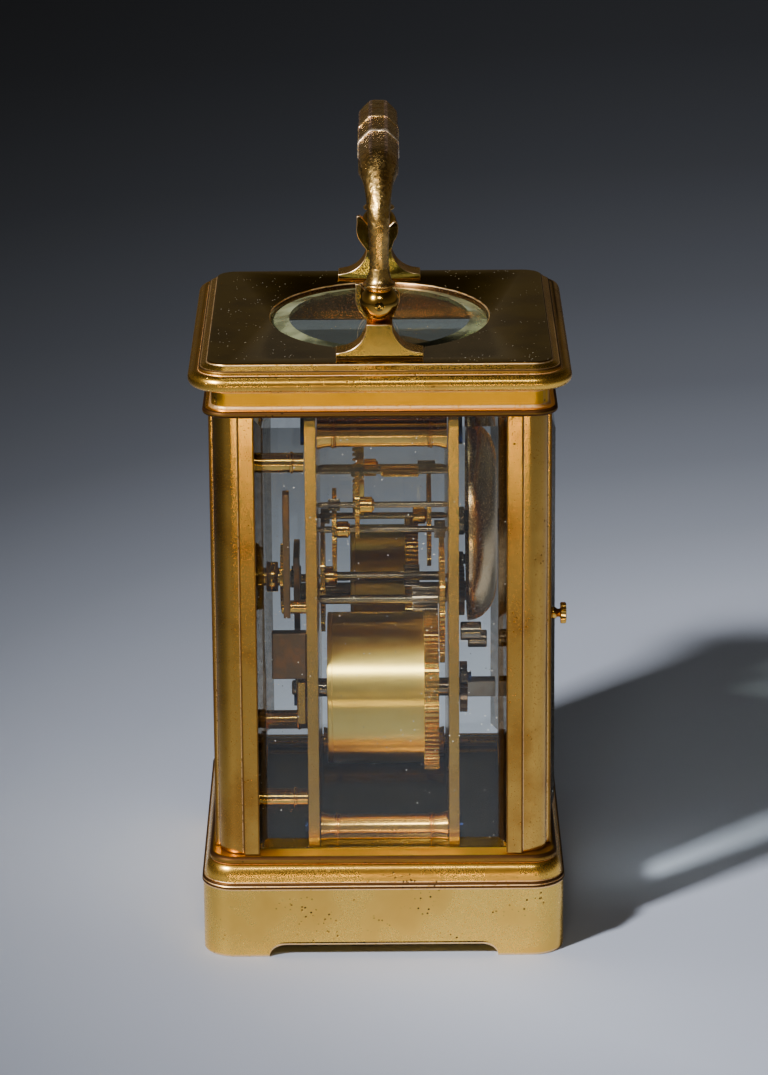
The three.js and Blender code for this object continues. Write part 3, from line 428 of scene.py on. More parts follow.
def metal(name, colour, stain, rough=0.22, brush=None, brush_depth=0.002, patches=0.5, speck=0.3, speck_size=0.5,
          pits=0.0, worn=None, hollow=None, wear=0.8, size=14, spun=None):
    """Metal with uneven tarnish, a fine speckle, brush marks, pits, bright worn edges and dark corners.
    spun is the axis that a piece was polished round, so its highlights spread along that axis."""
    f = Finish(name)
    wide = f.grain(size, 4.0)
    fine = f.grain(speck_size, 4.0, roughness=0.7)
    tarnish = f.math("MULTIPLY", f.band(wide, 0.42, 0.68), patches)
    speckle = f.math("MULTIPLY", f.band(fine, 0.52, 0.7), speck)
    dirt = f.math("MAXIMUM", tarnish, speckle)
    base = f.mix(dirt, colour, stain)
    gloss = f.math("ADD", f.math("MULTIPLY", wide, 0.10), rough - 0.05)
    gloss = f.math("ADD", gloss, f.math("MULTIPLY", speckle, 0.25))
    normal = f.bump(fine, 0.004)
    if brush:
        lines = brushed(f, brush)
        normal = f.bump(lines, brush_depth, normal)
        gloss = f.math("ADD", gloss, f.math("MULTIPLY", f.math("SUBTRACT", lines, 0.5), 0.14))
    if worn or hollow:
        edge = f.attribute("edge")
        broken = f.band(f.grain(0.8, 3.0), 0.26, 0.48)
        if worn:
            share = f.math("MULTIPLY", f.band(edge, 0.15, 0.8), f.math("MULTIPLY", broken, wear))
            base = f.mix(share, base, worn)
            gloss = f.math("ADD", gloss, f.math("MULTIPLY", share, 0.22))
        if hollow:
            share = f.math("MULTIPLY", f.band(f.math("MULTIPLY", edge, -1.0), 0.1, 0.7), wear)
            base = f.mix(share, base, hollow)
            gloss = f.math("ADD", gloss, f.math("MULTIPLY", share, 0.25))
    if pits:
        holes = f.math("MULTIPLY", f.band(f.cells(1.1), 0.30, 0.16), f.band(f.grain(7, 2.0), 0.56, 0.66))
        holes = f.math("MULTIPLY", holes, pits)
        base = f.mix(holes, base, (0.035, 0.02, 0.008))
        gloss = f.math("ADD", gloss, f.math("MULTIPLY", holes, 0.4))
        normal = f.bump(holes, -0.08, normal)
    f.set(Base_Color=base, Roughness=gloss, Normal=normal, Metallic=1.0)
    if spun:
        tangent = f.nodes.new("ShaderNodeTangent")
        tangent.direction_type = "RADIAL"
        tangent.axis = spun
        f.set(Anisotropic=0.95, Anisotropic_Rotation=0.25, Tangent=tangent.outputs[0])
    return f.material


GOLD = (0.74, 0.42, 0.085)
STAIN = (0.42, 0.18, 0.03)
PALE_EDGE = (1.0, 0.72, 0.42)
DARK_CORNER = (0.10, 0.045, 0.015)

case_brass = metal("case_brass", GOLD, STAIN, 0.155, brush="Z", pits=0.35, worn=PALE_EDGE, hollow=DARK_CORNER,
                   patches=0.7, speck=0.8, speck_size=0.4)
moulding_brass = metal("moulding_brass", (1.0, 0.57, 0.09), (0.60, 0.28, 0.05), 0.27, pits=0.8, worn=PALE_EDGE,
                       hollow=DARK_CORNER, speck=0.5, speck_size=0.4, wear=1.0)
plinth_brass = metal("plinth_brass", (1.0, 0.63, 0.125), (0.78, 0.42, 0.07), 0.27, patches=0.6, speck=0.25,
                     pits=1.0, worn=PALE_EDGE, hollow=DARK_CORNER, size=24)
frieze_brass = metal("frieze_brass", (1.0, 0.53, 0.012), (0.86, 0.38, 0.006), 0.33, brush="Z", brush_depth=0.006,
                     patches=0.2, speck=0.1, worn=PALE_EDGE, hollow=DARK_CORNER)
# Painted shade: the bracket brass is a much darker copy of the case brass, standing in for shade on the brackets' broad
# faces and on the handle pins.
bracket_brass_painted_shade = metal("bracket_brass_painted_shade", (0.32, 0.24, 0.075), (0.22, 0.15, 0.035), 0.11, brush="Z", brush_depth=0.0008, patches=0.6,
                      worn=PALE_EDGE, hollow=DARK_CORNER, size=6)
edge_brass = metal("edge_brass", (1.0, 0.74, 0.46), (0.9, 0.5, 0.2), 0.30, patches=0.4, speck=0.3, size=4)
plate_brass = metal("plate_brass", (0.49, 0.30, 0.065), (0.30, 0.15, 0.03), 0.21, patches=0.4, speck=0.7,
                    speck_size=0.3, size=10)
turned_brass = metal("turned_brass", (0.92, 0.55, 0.11), (0.62, 0.30, 0.05), 0.14, patches=0.35, speck=0.12, size=9)
pillar_brass = metal("pillar_brass", (0.95, 0.60, 0.15), (0.62, 0.30, 0.05), 0.24, patches=0.35, speck=0.12, size=9,
                     spun="Y")
drum_brass = metal("drum_brass", (0.78, 0.58, 0.16), (0.64, 0.42, 0.08), 0.34, patches=0.3, speck=0.15, size=9,
                   spun="Y")
wheel_brass = metal("wheel_brass", (0.66, 0.44, 0.10), (0.36, 0.20, 0.04), 0.16, patches=0.3, speck=0.25, size=6)
# Painted shade: a dark copy of the brass for the faces inside the cornice, standing in for the shade under the top.
inner_brass_painted_shade = metal("inner_brass_painted_shade", (0.26, 0.13, 0.05), (0.14, 0.06, 0.02), 0.24, patches=0.6, speck=0.35, size=9)
well_brass = metal("well_brass", (0.30, 0.27, 0.20), (0.16, 0.15, 0.13), 0.10, patches=0.6, speck=0.35, size=12)
steel = metal("steel", (0.30, 0.25, 0.19), (0.17, 0.11, 0.07), 0.16, brush="Y", patches=0.4, speck=0.3, size=5)
dark_steel = metal("dark_steel", (0.11, 0.075, 0.05), (0.22, 0.10, 0.04), 0.30, patches=0.6, speck=0.4, size=4)
blued_steel = metal("blued_steel", (0.02, 0.035, 0.13), (0.03, 0.03, 0.05), 0.22, patches=0.4, speck=0.2, size=4)
bell_metal = metal("bell_metal", (0.80, 0.58, 0.33), (0.50, 0.25, 0.09), 0.24, brush="Y", patches=0.7, speck=0.25,
                   size=11)


def panel_finish():
    """The top panel: a dark polish with patchy haze, arcs of fine scratches and dust."""
    f = Finish("panel_brass")
    wide = f.grain(16, 4.0)
    swirl = f.nodes.new("ShaderNodeTexWave")
    swirl.wave_type = "RINGS"
    swirl.rings_direction = "Z"
    f.put(swirl.inputs["Vector"], f.space)
    swirl.inputs["Scale"].default_value = 900
    swirl.inputs["Distortion"].default_value = 9
    swirl.inputs["Detail"].default_value = 3
    fine = f.grain(0.5, 4.0, roughness=0.7)
    dust = f.math("MULTIPLY", f.band(f.cells(1.2), 0.13, 0.06), f.band(f.grain(9, 2.0), 0.44, 0.6))
    base = f.mix(f.band(wide, 0.4, 0.7), (0.74, 0.49, 0.055), (0.50, 0.32, 0.05))
    base = f.mix(dust, base, (0.75, 0.72, 0.66))
    gloss = f.math("ADD", f.math("MULTIPLY", wide, 0.16), 0.02)
    gloss = f.math("ADD", gloss, f.math("MULTIPLY", swirl.outputs["Fac"], 0.04))
    gloss = f.math("ADD", gloss, f.math("MULTIPLY", dust, 0.6))
    normal = f.bump(fine, 0.002)
    normal = f.bump(swirl.outputs["Fac"], 0.0015, normal)
    f.set(Base_Color=base, Roughness=gloss, Normal=normal, Metallic=f.band(dust, 0.2, 0.6, 1.0, 0.2))
    return f.material


def handle_finish():
    """Worn cast brass: hammered dimples, dark spots and pits, pale worn corners, and a painted highlight on the raised
    rings round the grip.
    """
    f = Finish("handle_brass")
    dents = f.cells(1.5, "SMOOTH_F1")
    fine = f.grain(0.35, 4.0, roughness=0.7)
    wide = f.grain(5, 4.0)
    grip = f.band(f.along(2), 180.5 * MM, 184.5 * MM)
    low = f.band(f.along(2), 170 * MM, 177 * MM)
    rugged = f.math("ADD", f.math("MULTIPLY", low, 0.94), 0.06)
    spots = f.math("MULTIPLY", f.band(f.grain(0.9, 3.0), 0.52, 0.60), f.math("ADD", f.math("MULTIPLY", grip, 0.3), 0.3))
    base = f.mix(f.band(wide, 0.4, 0.65), (1.0, 0.66, 0.22), (0.92, 0.52, 0.14))
    base = f.mix(f.math("MULTIPLY", spots, rugged), base, (0.11, 0.05, 0.015))
    edge = f.attribute("edge")
    base = f.mix(f.band(edge, 0.2, 0.9), base, (1.0, 0.66, 0.45))
    # Painted highlight: the raised rings round the grip are painted pale, fully on the ring at +X and faintly on the
    # ring at -X.
    ring = f.attribute("ring")
    base = f.mix(f.math("MULTIPLY", ring, f.band(f.grain(0.6, 2.0), 0.25, 0.45)), base, (1.0, 0.86, 0.70))
    pit = f.math("MULTIPLY", f.band(f.cells(1.1), 0.2, 0.08), f.band(wide, 0.5, 0.62))
    base = f.mix(f.math("MULTIPLY", pit, rugged), base, (0.02, 0.012, 0.006))
    gloss = f.math("ADD", f.math("MULTIPLY", spots, 0.3), 0.19)
    gloss = f.math("ADD", gloss, f.math("MULTIPLY", fine, 0.10))
    gloss = f.math("ADD", gloss, f.math("MULTIPLY", ring, 0.2))
    normal = f.bump(f.math("MULTIPLY", dents, rugged), 0.22)
    normal = f.bump(f.math("MULTIPLY", fine, rugged), 0.06, normal)
    normal = f.bump(f.math("MULTIPLY", pit, rugged), -0.1, normal)
    f.set(Base_Color=base, Roughness=gloss, Normal=normal, Metallic=1.0)
    return f.material


def glass_finish(name, tint, dust_share, painted_reflection=None, painted_reflection_share=0.0, painted_reflection_metal=1.0, painted_reflection_size=1.5, painted_reflection_swing=0.2):
    """Clear glass that lets lamps through, with specks of dust. The last five arguments give a bevel a painted
    reflection: a colour mixed over the glass in patches, metallic or pale, standing in for what the bevel reflects and
    refracts.
    """
    f = Finish(name, "ShaderNodeMixShader")
    clear = f.nodes.new("ShaderNodeBsdfGlass")
    clear.inputs["IOR"].default_value = 1.5
    clear.inputs["Roughness"].default_value = 0.0
    clear.inputs["Color"].default_value = (*tint, 1)
    passing = f.nodes.new("ShaderNodeBsdfTransparent")
    passing.inputs["Color"].default_value = (*tint, 1)
    ray = f.nodes.new("ShaderNodeLightPath").outputs["Is Shadow Ray"]
    dust = f.nodes.new("ShaderNodeBsdfDiffuse")
    dust.inputs["Color"].default_value = (0.75, 0.74, 0.70, 1)
    speck = f.math("MULTIPLY", f.band(f.cells(1.9), 0.10, 0.05), f.band(f.grain(6, 2.0), 0.50, 0.6))
    speck = f.math("MULTIPLY", speck, dust_share)
    dusty = f.nodes.new("ShaderNodeMixShader")
    f.put(dusty.inputs[0], speck)
    f.put(dusty.inputs[1], clear.outputs[0])
    f.put(dusty.inputs[2], dust.outputs[0])
    seen = dusty
    if painted_reflection:
        # Painted reflection: a shader of the given colour, mixed over the glass in patches.
        painted_sheen = f.nodes.new("ShaderNodeBsdfPrincipled")
        f.put(painted_sheen.inputs["Base Color"], painted_reflection)
        painted_sheen.inputs["Metallic"].default_value = painted_reflection_metal
        painted_sheen.inputs["Roughness"].default_value = 0.3
        seen = f.nodes.new("ShaderNodeMixShader")
        f.put(seen.inputs[0], f.band(f.grain(painted_reflection_size, 4.0), 0.36, 0.64, painted_reflection_share * (1 - painted_reflection_swing), painted_reflection_share * (1 + painted_reflection_swing)))
        f.put(seen.inputs[1], dusty.outputs[0])
        f.put(seen.inputs[2], painted_sheen.outputs[0])
    f.put(f.shader.inputs[0], ray)
    f.put(f.shader.inputs[1], seen.outputs[0])
    f.put(f.shader.inputs[2], passing.outputs[0])
    return f.material


def enamel_finish():
    """Glazed white enamel, faintly uneven."""
    f = Finish("dial_enamel")
    base = f.mix(f.band(f.grain(7, 3.0), 0.35, 0.7), (0.86, 0.85, 0.80), (0.80, 0.78, 0.72))
    f.set(Base_Color=base, Roughness=f.band(f.grain(3, 2.0), 0.3, 0.7, 0.16, 0.24))
    f.set(Normal=f.bump(f.grain(2.5, 2.0), 0.004), Coat_Weight=0.6, Coat_Roughness=0.05)
    return f.material


def ink_finish(name, colour):
    f = Finish(name)
    base = f.mix(f.band(f.grain(0.8, 3.0), 0.4, 0.7), colour, tuple(c * 1.8 + 0.01 for c in colour))
    f.set(Base_Color=base, Roughness=f.band(f.grain(1.5, 2.0), 0.3, 0.7, 0.22, 0.36))
    return f.material


panel_brass = panel_finish()
handle_brass = handle_finish()
pane_glass = glass_finish("pane_glass", (0.97, 0.985, 0.975), 0.8)
oval_glass = glass_finish("oval_glass", (0.93, 0.97, 0.92), 0.5)
# Painted reflection on the panes' bevels: a darker brown tint and a dark brown metallic layer, standing in for what the
# bevels reflect and refract.
bevel_glass_painted_reflection = glass_finish("bevel_glass_painted_reflection", (0.64, 0.60, 0.53), 1.0, (0.13, 0.09, 0.04), 0.4)
# Painted reflection on the oval's bevel: a pale green layer in large patches, standing in for its bright rim.
bright_bevel_painted_sheen = glass_finish("bright_bevel_painted_sheen", (0.90, 0.95, 0.80), 0.5, (0.66, 0.72, 0.42), 0.3, 0.2, 16, 0.8)
dial_enamel = enamel_finish()
dial_ink = ink_finish("dial_ink", (0.012, 0.012, 0.014))
spring_steel = metal("spring_steel", (0.20, 0.21, 0.24), (0.10, 0.08, 0.07), 0.3, patches=0.5, speck=0.3, size=4)
ruby = ink_finish("ruby", (0.35, 0.01, 0.05))

# ---------------------------------------------------------------- case mouldings

CORNER_STEPS = 12


def corner_path(r, side_x=(), side_y=()):
    """A rounded rectangle at a radius from the corner centres. The sides can take extra points."""
    points = []
    for sx, sy, start in ((1, 1, 0), (-1, 1, 90), (-1, -1, 180), (1, -1, 270)):
        points += arc((sx * CORNER_X, sy * CORNER_Y), r, start, start + 90, CORNER_STEPS)
        if (sx, sy) == (1, 1):
            points += [(x, CORNER_Y + r) for x in reversed(side_x)]
        if (sx, sy) == (-1, 1):
            points += [(-CORNER_X - r, y) for y in reversed(side_y)]
        if (sx, sy) == (-1, -1):
            points += [(x, -CORNER_Y - r) for x in side_x]
        if (sx, sy) == (1, -1):
            points += [(CORNER_X + r, y) for y in side_y]
    return points


def clamped(points, half_x, half_y):
    return [(max(-half_x, min(half_x, x)), max(-half_y, min(half_y, y))) for x, y in points]


def at_height(points, z):
    return [(x, y, z) for x, y in points]


ARCH_RISE = 2.9
ARCH_END = 4.0
ARCH_HALF_Y = 27.0
ARCH_HALF_X = ARCH_HALF_Y + CORNER_X - CORNER_Y


def arch_places(half):
    """Places along a side where the arch between the feet is curved."""
    steps = [ARCH_END * (1 - math.cos(math.radians(a))) for a in range(0, 91, 10)]
    ends = [-half + s for s in steps]
    return [-half - 1.2, *ends, *spread(-half + 8, half - 8, 9), *[-e for e in reversed(ends)], half + 1.2]


def arch_height(x, y, r):
    """How high the base's lower edge is at a point on the outside."""
    on_side = abs(abs(x) - CORNER_X - r) < 1e-4
    along, half = (y, ARCH_HALF_Y) if on_side else (x, ARCH_HALF_X)
    inside = half - abs(along)
    if inside <= 0 or (abs(x) > CORNER_X and abs(y) > CORNER_Y):
        return 0.0
    if inside >= ARCH_END:
        return ARCH_RISE
    return ARCH_RISE * math.sin(math.acos(1 - inside / ARCH_END))


def base_plinth():
    outside = [
        (PLINTH_R, 3.4),
        (PLINTH_R, 17.0),
        (PLINTH_R + 0.28, 17.25),
        (PLINTH_R + 0.3, 17.6),
        (PLINTH_R + 0.05, 17.85),
        (PLINTH_R + 0.28, 18.1),
        (PLINTH_R + 0.1, 18.5),
        (7.35, 18.6),
        *[(5.7 + 1.6 * math.cos(a), 18.6 + 4 * math.sin(a)) for a in spread(0.05, 1.45, 9)],
        (5.5, 22.75),
        (5.95, 22.85),
        (6.12, 23.2),
        (6.15, 23.7),
        (6.0, 24.1),
        (5.4, BASE_TOP),
        (4.2, BASE_TOP),
    ]
    places = arch_places(ARCH_HALF_X), arch_places(ARCH_HALF_Y)
    loops, marks = [], []
    path = corner_path(PLINTH_R, *places)
    heights = [arch_height(x, y, PLINTH_R) for x, y in path]

    def low_loop(r, lift):
        ring = corner_path(r, *places)
        return [(x, y, z + lift) for (x, y), z in zip(ring, heights)]

    inner = clamped(path, 40.5, 36.5)
    loops += [at_height(inner, 16.5), [(x, y, z) for (x, y), z in zip(inner, heights)]]
    marks += [0.0, 0.0]
    for r, lift, mark in ((7.0, 0.0, 0.0), (7.45, 0.05, 1.0), (7.65, 0.3, 1.0), (PLINTH_R, 0.8, 0.0)):
        loops.append(low_loop(r, lift))
        marks.append(mark)
    for r, z, mark in softened(outside, 0.16):
        loops.append(at_height(corner_path(r, *places), z))
        marks.append(mark)
    well = clamped(path, 37, 28.7)
    loops += [at_height(well, BASE_TOP), at_height(well, BASE_TOP - 1.7)]
    marks += [0.0, -1.0]
    made = piece("base_moulding", loops_to_shape(loops, marks), moulding_brass,
                 replaces="base_plinth")
    repaint(made, plinth_brass, lambda c, n: c.z < 17.1)
    repaint(made, frieze_brass, lambda c, n: c.z > BASE_TOP - 0.05 and n.z > 0.9)
    repaint(made, well_brass, lambda c, n: 22.7 < c.z < 23 and n.z > 0.9 and abs(c.x) < 37 and abs(c.y) < 28.7)


def ellipse(ax, ay, sides=96):
    return [(ax * math.cos(TURN * i / sides), ay * math.sin(TURN * i / sides)) for i in range(sides)]


def flat_ring(outer, inner, z):
    """A flat face between two loops, with the outer one first."""
    loops = [outer, inner]
    flat = [p for loop in loops for p in loop]
    faces = [list(f) for f in tessellate_polygon([[Vector((x, y, 0)) for x, y in loop] for loop in loops])]
    return Shape().add(at_height(flat, z), faces)


OVAL_X = limits("top_glass")[1].x
OVAL_Y = limits("top_glass")[1].y
OVAL_LOW = limits("top_glass")[0].z


def cornice_top():
    outside = [
        (3.0, CORNICE_Z),
        (5.5, CORNICE_Z),
        (5.85, CORNICE_Z + 0.25),
        (5.95, CORNICE_Z + 0.7),
        (5.85, CORNICE_Z + 1.15),
        (5.5, 133.15),
        (4.3, 133.35),
        (3.85, 133.8),
        (3.8, 137.3),
        (4.1, 137.75),
        (5.6, 137.9),
        (6.2, 138.1),
        *[(7.25 + 1.9 * math.cos(a), 140.2 + 1.9 * math.sin(a)) for a in spread(-1.45, 1.45, 13)],
        (6.95, 142.0),
        (6.7, 141.95),
        (6.65, 142.6),
        (6.5, 142.9),
        (6.2, 142.95),
        (5.5, 143.45),
        (4.75, 143.9),
        (4.6, 144.2),
        (4.3, PANEL_Z),
        (3.6, PANEL_Z),
    ]
    loops, marks = [], []
    pocket = clamped(corner_path(4), 38.5, 34.5)
    loops += [at_height(pocket, 139.6), at_height(pocket, CORNICE_Z)]
    marks += [0.0, 0.0]
    for r, z, mark in softened(outside, 0.14):
        loops.append(at_height(corner_path(r), z))
        marks.append(mark)
    shell = loops_to_shape(loops, marks, cap_start=False, cap_end=False)
    seat = ellipse(OVAL_X + 0.3, OVAL_Y + 0.3)
    lip = ellipse(OVAL_X + 0.55, OVAL_Y + 0.55)
    sight = ellipse(OVAL_X - 2, OVAL_Y - 2)
    steps = [at_height(lip, PANEL_Z), at_height(seat, PANEL_Z - 0.25), at_height(seat, OVAL_LOW - 0.3)]
    steps += [at_height(sight, OVAL_LOW - 0.3), at_height(sight, 139.6)]
    shell.join(loops_to_shape(steps, [1.0, 1.0, 0.0, 0.0, 0.0], cap_start=False, cap_end=False))
    shell.join(flat_ring(corner_path(3.6), lip, PANEL_Z))
    shell.join(flat_ring(corner_path(4) and clamped(corner_path(4), 38.5, 34.5), sight, 139.6))
    made = piece("cornice_moulding", shell, moulding_brass, replaces="cornice_top", smooth=50)
    repaint(made, frieze_brass, lambda c, n: 133.3 < c.z < 137.8 and max(abs(c.x) - CORNER_X, abs(c.y) - CORNER_Y) > 3)
    repaint(made, panel_brass, lambda c, n: c.z > PANEL_Z - 0.05 and n.z > 0.9)
    # Painted shade: the faces inside the cornice, below the panel, get the dark inner brass.
    repaint(made, inner_brass_painted_shade, lambda c, n: abs(c.x) < 38.6 and abs(c.y) < 34.6 and c.z < PANEL_Z - 1)


# ---------------------------------------------------------------- corner pillars

PILLAR_IN_X = limits("pillar_front_right")[0].x
PILLAR_IN_Y = -limits("pillar_front_right")[1].y
PILLAR_OUT_X = limits("pillar_front_right")[1].x
PILLAR_OUT_Y = -limits("pillar_front_right")[0].y
STRIP_W = 3.8
STRIP_PROUD = 0.9
PILLAR_ROUND = 5.6


def pillar(name, sx, sy):
    """A post with two flat strips and a stepped-back round corner, and grooves for the panes."""
    x1, y1 = PILLAR_OUT_X, PILLAR_OUT_Y
    back = x1 - STRIP_PROUD - PILLAR_ROUND, y1 - STRIP_PROUD - PILLAR_ROUND
    outline = [
        (PILLAR_IN_X, PILLAR_IN_Y),
        (38, PILLAR_IN_Y),
        (38, PILLAR_IN_Y + 1.5),
        (41.3, PILLAR_IN_Y + 1.5),
        (41.3, PILLAR_IN_Y),
        (x1, PILLAR_IN_Y),
        (x1, PILLAR_IN_Y + STRIP_W),
        (x1 - STRIP_PROUD, PILLAR_IN_Y + STRIP_W + 0.12),
        *arc(back, PILLAR_ROUND, 0, 90, 14),
        (PILLAR_IN_X + STRIP_W + 0.12, y1 - STRIP_PROUD),
        (PILLAR_IN_X + STRIP_W, y1),
        (PILLAR_IN_X, y1),
    ]
    if sy < 0:
        outline += [(PILLAR_IN_X, 38.6), (PILLAR_IN_X + 1.5, 38.6), (PILLAR_IN_X + 1.5, 35.3), (PILLAR_IN_X, 35.3)]
    soft = softened(outline, 0.18, closed=True)
    section = [(sx * x, sy * y) for x, y, _ in soft]
    z0, z1 = PILLAR_Z
    rows = [z0, z0 + 0.25, *spread(z0 + 1.5, z1 - 1.5, 9), z1 - 0.25, z1]
    loops = [at_height(section, z) for z in rows]
    shape = loops_to_shape(loops)
    shape.edges = [mark for _ in rows for _, _, mark in soft]
    piece(f"{name}_post", shape, case_brass, replaces=name, smooth=30)


# ---------------------------------------------------------------- glass

GLASS_BEVEL = 3.0
GLASS_BEVEL_DEPTH = 0.9


def pane(node, name, normal, body=CASE):
    """A flat pane in a CAD pane's place, with a wide bevel round its outer face."""
    low, high = limits(node)
    across = "Y" if normal[0] == "X" else "X"
    index = "XYZ".index(normal[0])
    outward = normal[1] == "+"
    inner, outer = (low[index], high[index]) if outward else (high[index], low[index])
    shoulder = outer - math.copysign(GLASS_BEVEL_DEPTH, outer - inner)
    span = low["XYZ".index(across)], high["XYZ".index(across)]

    def ring(inset, t):
        a0, a1 = span[0] + inset, span[1] - inset
        z0, z1 = low.z + inset, high.z - inset
        corners = [(a0, z0), (a1, z0), (a1, z1), (a0, z1)]
        return [place(normal[0], a, z, t) for a, z in corners]

    loops = [ring(0.12, inner), ring(0, inner + math.copysign(0.12, outer - inner)), ring(0, shoulder)]
    loops.append(ring(GLASS_BEVEL, outer))
    made = piece(name, loops_to_shape(loops), pane_glass, body=body, replaces=node, smooth=5)
    # The side bevels get the painted-reflection glass.
    repaint(made, bevel_glass_painted_reflection, lambda c, n: 0.9 < abs(n[index]) < 0.995 and abs(n.z) < 0.1)


def oval_glass_piece():
    low, high = limits("top_glass")
    steps = [(OVAL_X - 0.1, low.z), (OVAL_X, low.z + 0.1), (OVAL_X, high.z - 0.95), (OVAL_X - 0.15, high.z - 0.8)]
    steps.append((OVAL_X - 4.2, high.z))
    loops = [at_height(ellipse(r, r - OVAL_X + OVAL_Y), z) for r, z in steps]
    made = piece("oval_glass", loops_to_shape(loops), oval_glass, replaces="top_glass", smooth=5)
    # The sloping bevel gets the pale painted-reflection glass.
    repaint(made, bright_bevel_painted_sheen, lambda c, n: 0.5 < n.z < 0.995)


# ---------------------------------------------------------------- back door


def door():
    low, high = limits("back_door_frame")
    z0, z1 = PILLAR_Z
    y0, y1 = low.y, high.y
    x0, x1 = HINGE.x, high.x
    window_x, window_z = 28.3, (z0 + 5.4, z1 - 5.4)

    def ring(left, right, bottom, top, y):
        return [(left, y, bottom), (right, y, bottom), (right, y, top), (left, y, top)]

    seat = 1.0
    loops = [
        ring(x0, x1, z0, z1, y0),
        ring(-window_x, window_x, *window_z, y0),
        ring(-window_x, window_x, *window_z, y1 - 1.8),
        ring(-window_x - seat, window_x + seat, window_z[0] - seat, window_z[1] + seat, y1 - 1.8),
        ring(-window_x - seat, window_x + seat, window_z[0] - seat, window_z[1] + seat, y1),
        ring(x0, x1, z0, z1, y1),
        ring(x0, x1, z0, z1, y0),
    ]
    shape = loops_to_shape(loops, cap_start=False, cap_end=False)
    half = (y1 - y0) / 2
    edge = arc((HINGE.x, HINGE.y), half, 88, 272, 12)
    shape.join(extruded(edge, "Z", (z0, z1)))
    piece("door_frame", shape, case_brass, body="back_door", replaces="back_door_frame", bevel=0.2)
    pin = turned([(0, low.z), (0.7, low.z), (0.8, low.z + 0.1), (0.8, high.z - 0.1), (0.7, high.z), (0, high.z)],
                 "Z", (HINGE.x, HINGE.y), 20)
    piece("door_hinge_pin", pin, steel, body="back_door")
    pane("back_door_glass", "door_glass", "Y+", body="back_door")
    knob_low, knob_high = limits("door_knob")
    at = (knob_low.x + knob_high.x) / 2, (knob_low.z + knob_high.z) / 2
    y = knob_high.y
    stem = [(0, y - 3.6), (1.35, y - 3.6), (1.45, y - 3.3), (1.35, y - 2.6), (1.0, y - 2.2), (0.95, y - 1.7)]
    stem += [(1.3, y - 1.45), (0, y - 1.45)]
    disc = [(0, y - 1.5), (2.2, y - 1.5), (2.45, y - 1.3), (2.45, y - 0.35), (2.2, y - 0.1), (1.2, y), (0, y)]
    shape = turned(stem, "Y", at, 32).join(turned(disc, "Y", at, 112, ripple=(28, 0.07)))
    piece("door_knob_turned", shape, turned_brass, body="back_door", replaces="door_knob")


# ---------------------------------------------------------------- handle and brackets

BALL_X = 38.0
BALL_R = 4.43
GRIP_Z = 186.0
GRIP_FLATS = 9.2
GRIP_RING = ((8.75, 4.58), (8.7, 4.72), (8.5, 4.84), (8.0, 4.88), (7.5, 4.84), (7.3, 4.72), (7.25, 4.58))


def handle_section(octagon, r):
    """One ring of the handle's skin: a circle that turns into an octagon with flats at the given size."""
    ring = []
    for i in range(64):
        a = TURN * (i + 0.5) / 64
        facet = (a + math.pi / 8) % (math.pi / 4) - math.pi / 8
        flat = r / math.cos(facet)
        corner = r / math.cos(math.pi / 8)
        flat = min(flat, corner * 0.985)
        ring.append(polar(octagon * flat + (1 - octagon) * r, a))
    return ring


def handle_stations():
    """The handle's line from the right collar over the elbow to the grip's middle, as (point, direction, size,
    octagon share)."""
    rows = []
    for z, r in ((162.6, 2.6), (163.2, 2.42), (164.4, 2.25), (167, 2.17), (170, 2.22)):
        rows.append((Vector((BALL_X, 0, z)), Vector((0, 0, 1)), r, 0.0))
    elbow = 13.0
    centre = Vector((BALL_X - elbow, 0, GRIP_Z - elbow))
    sizes = (2.32, 2.42, 2.52, 2.62, 2.74, 2.88, 3.06, 3.30, 3.62, 3.98, 4.28, 4.48, 4.6)
    for step, size in enumerate(sizes):
        a = math.radians(90 * step / 12)
        point = centre + Vector((elbow * math.cos(a), 0, elbow * math.sin(a)))
        along = Vector((-math.sin(a), 0, math.cos(a)))
        rows.append((point, along, size, max(0.0, min(1.0, (step - 8) / 4))))
    for x, size in ((23, 4.6), (19, 4.6), (14, 4.6), *GRIP_RING, (3.5, 4.6), (0, 4.6)):
        rows.append((Vector((x, 0, GRIP_Z)), Vector((-1, 0, 0)), size, 1.0))
    return rows


def handle_tube():
    right = handle_stations()
    left = [(Vector((-p.x, 0, p.z)), Vector((d.x, 0, -d.z)), r, o) for p, d, r, o in reversed(right[:-1])]
    loops = []
    for point, along, size, octagon in right + left:
        across = Vector((0, 1, 0))
        up = across.cross(along)
        section = handle_section(octagon, size)
        loops.append([tuple(point + across * a + up * b) for a, b in section])
    shape = loops_to_shape(loops)
    corners = []
    for (_, _, _, octagon) in right + left:
        for i in range(64):
            a = TURN * (i + 0.5) / 64
            facet = abs((a + math.pi / 8) % (math.pi / 4) - math.pi / 8)
            corners.append(octagon if facet > math.pi / 8 - 0.06 else 0.0)
    shape.edges = corners
    return shape


def ring_highlight_share(p):
    """How much painted highlight the raised rings round the grip get at a point: full on the ring at +X, a quarter on
    the ring at -X.
    """
    if p.z < GRIP_Z - 6:
        return 0.0
    return 1.0 if 7.26 < p.x < 8.74 else 0.25 if -8.74 < p.x < -7.26 else 0.0


def dimpled(made, depth, size):
    """Presses small uneven dents into a worn casting."""
    for vertex in made.data.vertices:
        p = vertex.co / MM
        share = min(1.0, max(0.0, (p.z - 172) / 6))
        if share > 0:
            push = noise.noise(p / size) + 0.5 * noise.noise(p * 2.3 / size)
            vertex.co += vertex.normal * push * depth * share * MM


